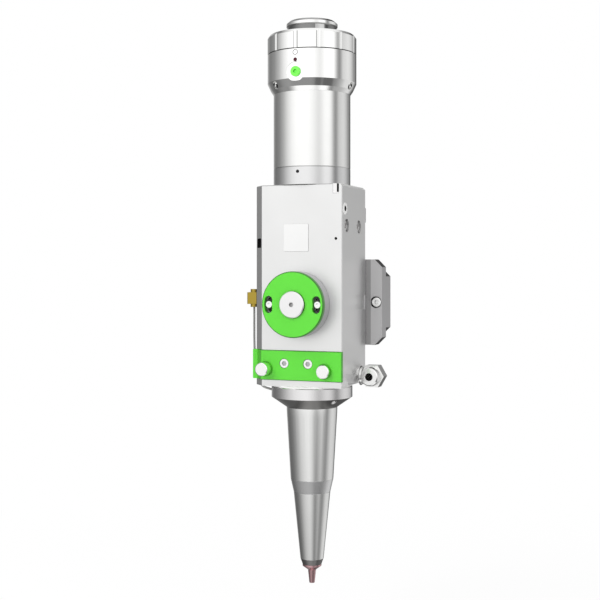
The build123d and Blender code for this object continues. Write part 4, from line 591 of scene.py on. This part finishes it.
def dyed_skin(name, colour, roughness, coat=0.3):
    """An even colour with a fine grain under a clear coat."""
    material, net, shader = principled(name)
    point, _ = net.place()
    grain = noise(net, point, 1 / grain_size, 2.0, 0.6)
    stain = noise(net, point, 60.0, 3.0, 0.5)
    shade = toned(net, stain * 0.7 + grain * 0.2, colour, 1.03, 0.93)
    set_up(net, shader, shade, spread(roughness, (stain, 0.06)), 0.0)
    shader.inputs["Coat Weight"].default_value = coat
    shader.inputs["Coat Roughness"].default_value = coat_roughness
    bumped(net, shader, grain, grain_depth)
    return material


def clear_glass(name, tint):
    """Coated optical glass, which shows a faint colour."""
    material, net, shader = principled(name)
    set_up(net, shader, (*tint, 1), 0.02, 0.0)
    shader.inputs["Transmission Weight"].default_value = 1.0
    shader.inputs["IOR"].default_value = 1.45
    return material


print("grain", grain_size / mm, "mm across")

# %% [markdown]
# Each finish is a recipe: the function that builds it, and its settings. The rings of most turned
# pieces run round the beam axis, and those of the dial round the dial axis. The first group holds the
# finishes that the CAD record names, and the second those that only this scene tells apart.

# %% Name the finishes of this head
on_beam = {"axis": "Z", "centre": (beam_x, beam_y)}
on_dial = {"axis": "Y", "centre": (dial_x, dial_z)}
steel = on_beam | {"colour": (0.86, 0.86, 0.85), "roughness": 0.17}
satin = on_beam | {"colour": (0.84, 0.83, 0.83), "roughness": 0.21}
green = {"colour": (0.10, 0.66, 0.029), "roughness": 0.42}
recipes = {
    "polished_steel": (turned_metal, steel),
    "satin_steel": (turned_metal, satin),
    "copper": (turned_metal, on_beam | {"colour": (0.60, 0.37, 0.385), "roughness": 0.20}),
    "bush_bronze": (turned_metal, on_dial | {"colour": (0.60, 0.42, 0.20), "roughness": 0.28}),
    "dark_steel": (blasted_metal, {"colour": (0.10, 0.10, 0.105), "roughness": 0.42}),
    "clear_anodised": (blasted_metal, {"colour": (0.90, 0.90, 0.895), "roughness": 0.42}),
    "plate_aluminium": (blasted_metal, {"colour": (0.55, 0.545, 0.55), "roughness": 0.36}),
    "black_anodised": (
        blasted_metal,
        {"colour": (0.03, 0.03, 0.032), "roughness": 0.5, "metallic": 0.4},
    ),
    "nickel_plate": (
        blasted_metal,
        {"colour": (0.88, 0.88, 0.87), "roughness": 0.14, "depth": 0.001 * mm},
    ),
    "gold_brass": (blasted_metal, {"colour": (0.46, 0.335, 0.06), "roughness": 0.34}),
    "green_anodised": (dyed_skin, green),
    "maroon_enamel": (dyed_skin, {"colour": (0.060, 0.001, 0.010), "roughness": 0.5, "coat": 0.0}),
    "black_rubber": (dyed_skin, {"colour": (0.02, 0.02, 0.02), "roughness": 0.6, "coat": 0.0}),
    "dark_polymer": (dyed_skin, {"colour": (0.05, 0.05, 0.05), "roughness": 0.5, "coat": 0.1}),
    "ceramic": (dyed_skin, {"colour": (0.85, 0.83, 0.76), "roughness": 0.35, "coat": 0.2}),
    "lead_sheath": (dyed_skin, {"colour": (0.30, 0.30, 0.29), "roughness": 0.4, "coat": 0.2}),
    "white_polymer": (dyed_skin, {"colour": (0.86, 0.86, 0.85), "roughness": 0.40, "coat": 0.2}),
}
recipes |= {
    "bright_steel": (turned_metal, steel | {"colour": (0.95, 0.95, 0.94), "roughness": 0.085}),
    "base_steel": (turned_metal, steel | {"colour": (0.73, 0.73, 0.73)}),
    "joint_steel": (turned_metal, steel | {"colour": (0.84, 0.84, 0.84), "roughness": 0.30}),
    "bright_screw": (turned_metal, steel | {"colour": (0.96, 0.96, 0.955), "roughness": 0.20}),
    # The cones that look down: satin steel made dark as a painted shade.
    "cone_steel": (turned_metal, satin | {"colour": (0.22, 0.215, 0.21), "roughness": 0.30}),
    "dial_metal": (turned_metal, on_dial | {"colour": (0.44, 0.44, 0.45), "roughness": 0.30}),
    "hub_metal": (turned_metal, on_dial | {"colour": (0.93, 0.93, 0.93), "roughness": 0.34}),
    "badge_metal": (blasted_metal, {"colour": (0.95, 0.95, 0.945), "roughness": 0.36}),
    "bright_green": (dyed_skin, green | {"colour": (0.18, 0.92, 0.085)}),
}
print("recipes for", len(recipes), "finishes")

# %% [markdown]
# A piece takes the finish of its slot in the CAD record, unless it is one of these. A finish is only
# made once a face asks for it, at the light that the face gets, and then kept for the next face.

# %% Hand out the finishes
own_finish = {
    "lock_ring": "bright_steel",
    "socket_collar": "bright_steel",
    "fibre_socket": "bright_steel",
    "collimator_base": "base_steel",
    "focus_dial": "dial_metal",
    "dial_hub": "hub_metal",
    "purge_plug": "bright_green",
    "front_badge": "badge_metal",
    "joint_ring": "joint_steel",
    "insulator_ring": "white_polymer",
    "cover_screws": "bright_screw",
    "wing_screws": "bright_screw",
    "dial_lock_screws": "bright_screw",
    "left_knob": "bright_screw",
    "right_knob": "bright_screw",
}
glass = "optical_glass"
made_finishes = {(glass, 1.0): clear_glass(glass, (0.93, 0.97, 1.0))}


def finish(name, light=1.0):
    """A finish with its colour scaled by a face's painted light: darker below 1, lighter above. Glass
    stays as it is.
    """
    if name == glass:
        light = 1.0
    if (name, light) not in made_finishes:
        build, settings = recipes[name]
        painted_light_colour = [part * light for part in settings["colour"]]
        label = name if light == 1.0 else name + "_in_shade_" + str(round(light * 100))
        made_finishes[name, light] = build(label, **(settings | {"colour": painted_light_colour}))
    return made_finishes[name, light]


def own_name(node):
    """The finish that most of a piece has."""
    return own_finish.get(node, slot_of_node[node])


print(len(own_finish), "pieces have a finish of their own")

# %% [markdown]
# A real hole is dark because light is thrown to and fro in it until little is left. The painted studio
# is seen by mirrored rays only, so that loss is put into the finish: from every face, short rays feel
# for the walls around it, and a face that sees little of the room gets a darker version of its finish.
#
# The rays are spread evenly over a dome by turning each one on by the golden angle, as seeds sit in a
# sunflower. The lowest few degrees are left out, where they would only graze the face itself.

# %% Feel how open a spot is
reach = 14 * mm
lift = 0.02 * mm
feeler_count = 16
dome_share = 0.95
golden_angle = pi * (3 - sqrt(5))
feelers = []
for step in range(feeler_count):
    height = 1 - (step + 0.5) / feeler_count * dome_share
    ring = sqrt(1 - height * height)
    angle = golden_angle * step
    feelers.append(Vector((ring * cos(angle), ring * sin(angle), height)))


def openness(spot, normal, walls):
    """The share of the room that a spot on a surface sees."""
    dome = normal.to_track_quat("Z", "Y")
    start = spot + normal * lift
    free = [feeler.z for feeler in feelers if walls.ray_cast(start, dome @ feeler, reach)[0] is None]
    return sum(free) / sum(feeler.z for feeler in feelers)


print(feeler_count, "feelers of", round(reach / mm), "mm")

# %% [markdown]
# The middle of a ring-shaped face lies in its hole and says nothing about the ring. So a face is felt
# from the middles of its largest triangles, which do lie on it.

# %% Feel how open each face is
felt_triangles = 3


def open_faces(mesh, walls):
    """How open each face of a mesh is."""
    triangles = {}
    for corners in mesh.calc_loop_triangles():
        first, second, third = [corner.vert.co for corner in corners]
        area = (second - first).cross(third - first).length
        triangles.setdefault(corners[0].face, []).append((area, (first + second + third) / 3))
    result = {}
    for face, parts in triangles.items():
        largest = sorted(parts, key=lambda part: part[0], reverse=True)[:felt_triangles]
        total = sum(area for area, _ in largest)
        felt = sum(area * openness(spot, face.normal, walls) for area, spot in largest)
        result[face] = felt / total if total else 1.0
    return result


print("each face is felt from", felt_triangles, "spots at most")

# %% [markdown]
# Some faces need a finish or a light of their own, such as the floor of an engraved mark. They are
# told apart by where they are and which way they look, so a table of touches holds tests for each
# piece, and the first test that a face passes counts. A way is a face's normal: a face looks to one
# side where that part of its way is near 1, and leans there where it is a good part of 1.

# %% Tell the faces of a piece apart
straight = 0.99
facing = 0.9
halfway = 0.5
leaning = 0.3
skin = 0.05 * mm
touches = {}


def touch(node, test, other=None, light=None):
    """Give the faces of a piece that pass a test another finish, or a light of their own, or both."""
    touches.setdefault(node, []).append((test, other, light))


def inside(place, lowest, highest):
    """Whether a place lies in a box."""
    return all(low < value < high for low, value, high in zip(lowest, place, highest))


def any_face(place, way):
    """A test that every face passes."""
    return True


def leans(part):
    """Whether a face leans to a side but doesn't look straight there."""
    return leaning < part < facing


def from_beam(place):
    """The distance of a place to the beam axis."""
    return sqrt((place.x - beam_x) ** 2 + (place.y - beam_y) ** 2)


def from_line(place, x, z):
    """The distance of a place to a line that runs from front to back."""
    return sqrt((place.x - x) ** 2 + (place.z - z) ** 2)


print("faces look to a side from", facing, "and lean from", leaning)

# %% [markdown]
# The fibre end is round, so its faces are told apart by their distance to the beam axis, by their
# direction from it, and by whether they look straight away from it or aside.

# %% Measure the faces of the fibre end
collar_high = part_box("socket_collar")[1]
collar_radius = collar_high.x - beam_x
mark_bottom = collar_high.z - 5.2 * mm
mark_top = collar_high.z - 0.6 * mm
mark_depth = 4.7 * mm
upright = 0.1
flute_turn = 0.92
lip_height = 4.8 * mm
neck_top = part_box("fibre_socket")[1].z - lip_height
neck_radius = 18 * mm
lip_radius = 17 * mm
# Directions from the beam axis, in degrees, where the neck gets a lighter painted shade as a painted
# reflection.
painted_bright_band = (9, 29)


def sideways(place):
    """The direction of a place from the beam axis, in degrees from the photographer's side."""
    return degrees(atan2(place.x - beam_x, beam_y - place.y) - camera_azimuth)


def outward(place, way):
    """1 where a face looks straight away from the beam axis, less where it is turned aside."""
    return ((place.x - beam_x) * way.x + (place.y - beam_y) * way.y) / from_beam(place)


def in_mark(place, way):
    """Whether a face lies in a mark or pocket of the collar's rim."""
    depth = collar_radius - from_beam(place)
    return mark_bottom < place.z < mark_top and skin < depth < mark_depth


def on_lip_bevel(place, way):
    """Whether a face is the bevel on top of the socket's lip."""
    return leans(way.z) and from_beam(place) > lip_radius


def on_neck(place, way):
    """Whether a face is on the outside of the socket's neck."""
    return place.z < neck_top and from_beam(place) > neck_radius


def on_bright_neck(place, way):
    """Whether a face of the neck lies in the band that gets a lighter painted shade, a painted
    reflection.
    """
    return on_neck(place, way) and painted_bright_band[0] < sideways(place) < painted_bright_band[1]


def on_flute_wall(place, way):
    """Whether an upright face of the lock ring looks aside."""
    return abs(way.z) < upright and halfway < outward(place, way) < flute_turn


print("the neck ends at z", round(neck_top, 4))

# %% [markdown]
# The marks near the collar's top are cut into its rim, and their floors get a painted shade. The
# faces of the socket that look down, and the bevel on top of its lip, get a painted shade, so the lip
# shows a dark line above and below. Its neck is a groove between the lip and the lock ring and gets
# a deep painted shade all round, except for a narrow band to the right with a lighter painted shade, a
# painted reflection of the bright field. The walls of the lock ring's flutes, which look aside, get a
# light painted shade, a little darker than its rim. The collimator's base is open all round, so only
# its screw holes lie in painted shade.

# %% Touch up the fibre end
base_radius = 29 * mm
touch("socket_collar", in_mark, light=0.20)
touch("fibre_socket", lambda place, way: -way.z > leaning, light=0.40)
touch("fibre_socket", on_lip_bevel, light=0.42)
touch("fibre_socket", on_bright_neck, light=0.60)
touch("fibre_socket", on_neck, light=0.24)
touch("lock_ring", on_flute_wall, light=0.72)
touch("collimator_base", lambda place, way: from_beam(place) > base_radius, light=1.0)
touch("collimator_base", lambda place, way: -way.z > facing, light=1.0)
print("touches on", len(touches), "pieces of the fibre end")

# %% [markdown]
# The body and its plate. The latch recess is cut into the bevelled left corner, and gets a painted
# shade that makes it nearly black. The pockets of the two side screws get a light painted shade, a
# little darker than the side. The bevel at the top right gets the pale matt white finish instead of the
# blasted one, at 0.8 of its colour as a painted half shade, so it is pale where the blasted metal would
# mirror a black flag.
#
# The plate has two layers with different corner cuts. What looks forward behind its front, such as the
# relief beside the body, gets a painted half shade. Its cut corners look up and down into the dark and
# get a painted shade, and its right side faces the brightest cloth and gets painted light, a colour
# above its own.

# %% Touch up the body and its plate
latch_low = Vector((-37, -75, 43)) * mm
latch_high = Vector((-29, -67, 50.6)) * mm
corner_offset = -57.4 * mm
pocket_margin = 1.4 * mm
pocket_depth = 4.3 * mm
body_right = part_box("housing")[1].x
pocket_low, pocket_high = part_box("side_screws")
pocket_low = pocket_low - Vector((0, pocket_margin, pocket_margin))
pocket_low.x = pocket_high.x - pocket_depth
pocket_high = pocket_high + Vector((0, pocket_margin, pocket_margin))
pocket_high.x = body_right - skin
relief_step = 0.8 * mm
relief_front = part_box("rear_plate")[0].y + relief_step


def in_latch(place, way):
    """Whether a face lies in the latch recess, behind the bevel of the corner."""
    behind_bevel = place.x + place.y > corner_offset + beam_y
    return behind_bevel and inside(place, latch_low, latch_high)


touch("housing", in_latch, light=0.08)
touch("housing", lambda place, way: inside(place, pocket_low, pocket_high), light=0.65)
# The top right bevel: the matt white finish at 0.8 of its colour, a painted half shade.
touch("housing", lambda place, way: min(way.x, way.z) > halfway, "white_polymer", 0.8)
touch("side_screws", any_face, light=1.0)
touch("rear_plate", lambda place, way: -way.y > facing and place.y > relief_front, light=0.62)
touch("rear_plate", lambda place, way: abs(way.x) > leaning and abs(way.z) > leaning, light=0.30)
# The plate's right side: painted light, with its colour raised above its own.
touch("rear_plate", lambda place, way: way.x > facing, light=1.15)
print("touches on", len(touches), "pieces so far")

# %% [markdown]
# The dial and the drawer. The green disc's rim and the walls of its slots look away from the light,
# and so do the drawer cover's sides: all of them get a painted shade, and so does the hole in the
# hub's middle. The cover's two screws sit deep in their counterbores, with a painted dark ring round
# each and a painted dark key hole in its middle.

# %% Touch up the dial and the drawer
rim_radius = 23 * mm
hub_hole_radius = 2.5 * mm
hub_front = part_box("dial_hub")[0].y
counterbore_radius = 4.6 * mm
cover_screws_low, cover_screws_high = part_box("cover_screws")
screw_radius = (cover_screws_high.z - cover_screws_low.z) / 2
screw_z = cover_screws_low.z + screw_radius
screw_places = (cover_screws_low.x + screw_radius, cover_screws_high.x - screw_radius)
key_step = 0.2 * mm
key_hole = cover_screws_low.y + key_step


def on_rim(place, way):
    """Whether a face is on the rim of the green disc."""
    return abs(way.y) < facing and from_line(place, dial_x, dial_z) > rim_radius


def in_hub_hole(place, way):
    """Whether a face lies in the hole in the middle of the hub."""
    return from_line(place, dial_x, dial_z) < hub_hole_radius and place.y > hub_front + skin


def in_counterbore(place, way):
    """Whether a face of the drawer cover lies round one of its screws."""
    nearest = min(from_line(place, screw_x, screw_z) for screw_x in screw_places)
    return -way.y < straight and nearest < counterbore_radius


touch("dial_face", on_rim, light=0.30)
touch("dial_face", lambda place, way: abs(way.y) < facing, light=0.60)
touch("dial_hub", in_hub_hole, light=0.60)
touch("dial_lock_screws", any_face, light=1.0)
touch("drawer_cover", in_counterbore, light=0.12)
touch("drawer_cover", lambda place, way: -way.y < straight, light=0.55)
touch("cover_screws", lambda place, way: place.y > key_hole, light=0.50)
print("touches on", len(touches), "pieces so far")

# %% [markdown]
# The nozzle and the gas fitting. The cones under the flange and at the foot of the lower tube look
# down, and get a dark copy of the satin steel as a painted shade. The flange's top is blasted like the
# body above it, and the pale ring between them keeps its own white. The gas fitting is open all round,
# and only its bore lies in painted shade.

# %% Touch up the nozzle and the gas fitting
flattest_cone = 0.95
pale_ring_radius = 20 * mm
hose_radius = 4 * mm
hexagon_depth = 2.5 * mm
hexagon_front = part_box("gas_elbow")[0].y + hexagon_depth
nose_low, nose_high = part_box("gas_collet")
nose = (nose_low + nose_high) / 2


def on_hexagon_front(place, way):
    """Whether a face is on the front of the fitting's hexagon."""
    return -way.y > facing and place.y < hexagon_front


touch("nozzle_flange", lambda place, way: leaning < -way.z < flattest_cone, "cone_steel")
touch("nozzle_flange", lambda place, way: way.z > facing, "clear_anodised", 1.0)
touch("lower_tube", lambda place, way: leans(-way.z), "cone_steel", 1.0)
touch("insulator_ring", lambda place, way: from_beam(place) > pale_ring_radius, light=1.0)
touch("gas_elbow", on_hexagon_front, light=1.0)
touch("gas_elbow", lambda place, way: from_line(place, nose.x, nose.z) > hose_radius, light=1.0)
print("touches on", len(touches), "pieces in all")

# %% [markdown]
# A CAD node is thousands of loose triangles. A copy of it is made whole by merging the points that
# lie together. Triangles in one plane are then joined, faces are shaded smooth, and only the edges
# that turn sharply stay sharp.
#
# The collar's rim is made of short upright faces that meet its bevels at small angles. There an edge is
# smooth only where the slope stays the same, so that the bevels keep their crisp lines.

# %% Make a CAD mesh whole
sharp_angle = radians(11.5)
plane_angle = radians(0.3)
same_slope = 0.05
merge_distance = 0.0005 * mm


def clean_mesh(node):
    """The node's mesh with shared points, flat faces made whole and smooth shading."""
    whole = bmesh.new()
    whole.from_mesh(nodes[node].data)
    bmesh.ops.remove_doubles(whole, verts=whole.verts, dist=merge_distance)
    bmesh.ops.dissolve_degenerate(whole, edges=whole.edges, dist=merge_distance)
    bmesh.ops.dissolve_limit(whole, angle_limit=plane_angle, verts=whole.verts, edges=whole.edges)
    for face in whole.faces:
        face.smooth = True
    for line in whole.edges:
        line.smooth = len(line.link_faces) == 2 and line.calc_face_angle() < sharp_angle
        if line.smooth and node == "socket_collar":
            slopes = [face.normal.z for face in line.link_faces]
            line.smooth = abs(slopes[0] - slopes[1]) < same_slope
    return whole


meshes = {node: clean_mesh(node) for node in sorted(nodes)}
print(sum(len(mesh.faces) for mesh in meshes.values()), "faces in", len(meshes), "pieces")

# %% [markdown]
# No real edge is perfectly sharp. A narrow bevel catches the light along each one, and its hardened
# normals keep the large faces flat beside it. The copy then stands for its CAD node and rides with it.

# %% Soften the edges of a piece
edge_width = 0.12 * mm
bevel_angle = radians(28)


def clean_copy(node, whole):
    """A softly edged piece that stands for a CAD node."""
    mesh = bpy.data.meshes.new(node + "_finished")
    whole.to_mesh(mesh)
    piece = bpy.data.objects.new(node + "_finished", mesh)
    bpy.context.collection.objects.link(piece)
    soften = piece.modifiers.new("soft_edges", "BEVEL")
    soften.width = edge_width
    soften.segments = 2
    soften.limit_method = "ANGLE"
    soften.angle_limit = bevel_angle
    soften.harden_normals = True
    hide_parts(node)
    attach(piece, body_of_node[node])
    return piece


print("edges are softened by", edge_width / mm, "mm")

# %% [markdown]
# The feelers need walls to find. Only pieces of the same moving body count as walls, so that nothing
# stays dark when the drawer or the dial moves away. Glass is no wall, because light goes through it.

# %% Stand up the walls of each moving body
walls = {}
for body, members in bodies.items():
    points = []
    corners = []
    for node in members:
        if slot_of_node[node] != glass:
            first = len(points)
            points += [point.co.copy() for point in meshes[node].verts]
            meshes[node].verts.index_update()
            corners += [[first + point.index for point in face.verts] for face in meshes[node].faces]
    walls[body] = BVHTree.FromPolygons(points, corners)
print("walls of", len(walls), "moving bodies")

# %% [markdown]
# Now each face gets its light. There are three steps of shade, which keeps the number of finishes
# small. A large face is on the outside, and a wall beside one end of it would wrongly darken all of it,
# so it always has full light. A touch has the last word.

# %% Give every face its finish
shades = ((0.12, 0.08), (0.25, 0.30), (0.36, 0.60))
outer_area = 400 * mm * mm


def light_on(face, share):
    """How light a face's finish is, from the share of the room that the face sees."""
    if face.calc_area() > outer_area:
        return 1.0
    return next((light for limit, light in shades if share < limit), 1.0)


def finish_of_face(node, face, share):
    """The material of one face of a piece."""
    name = own_name(node)
    light = light_on(face, share)
    place = face.calc_center_median()
    for test, other, own_light in touches.get(node, ()):
        if test(place, face.normal):
            name = other or name
            light = own_light or light
            break
    return finish(name, light)


for node, whole in meshes.items():
    used = [finish(own_name(node))]
    for face, share in open_faces(whole, walls[body_of_node[node]]).items():
        material = finish_of_face(node, face, share)
        if material not in used:
            used.append(material)
        face.material_index = used.index(material)
    piece = clean_copy(node, whole)
    whole.free()
    for material in used:
        piece.data.materials.append(material)
print(len(meshes), "pieces in", len(made_finishes), "finishes, shades included")

# %% [markdown]
# Last, the picture's own setting: the plain view transform, so that a colour renders as it is written.

# %% Finish
scene = bpy.context.scene
scene.view_settings.view_transform = "Standard"
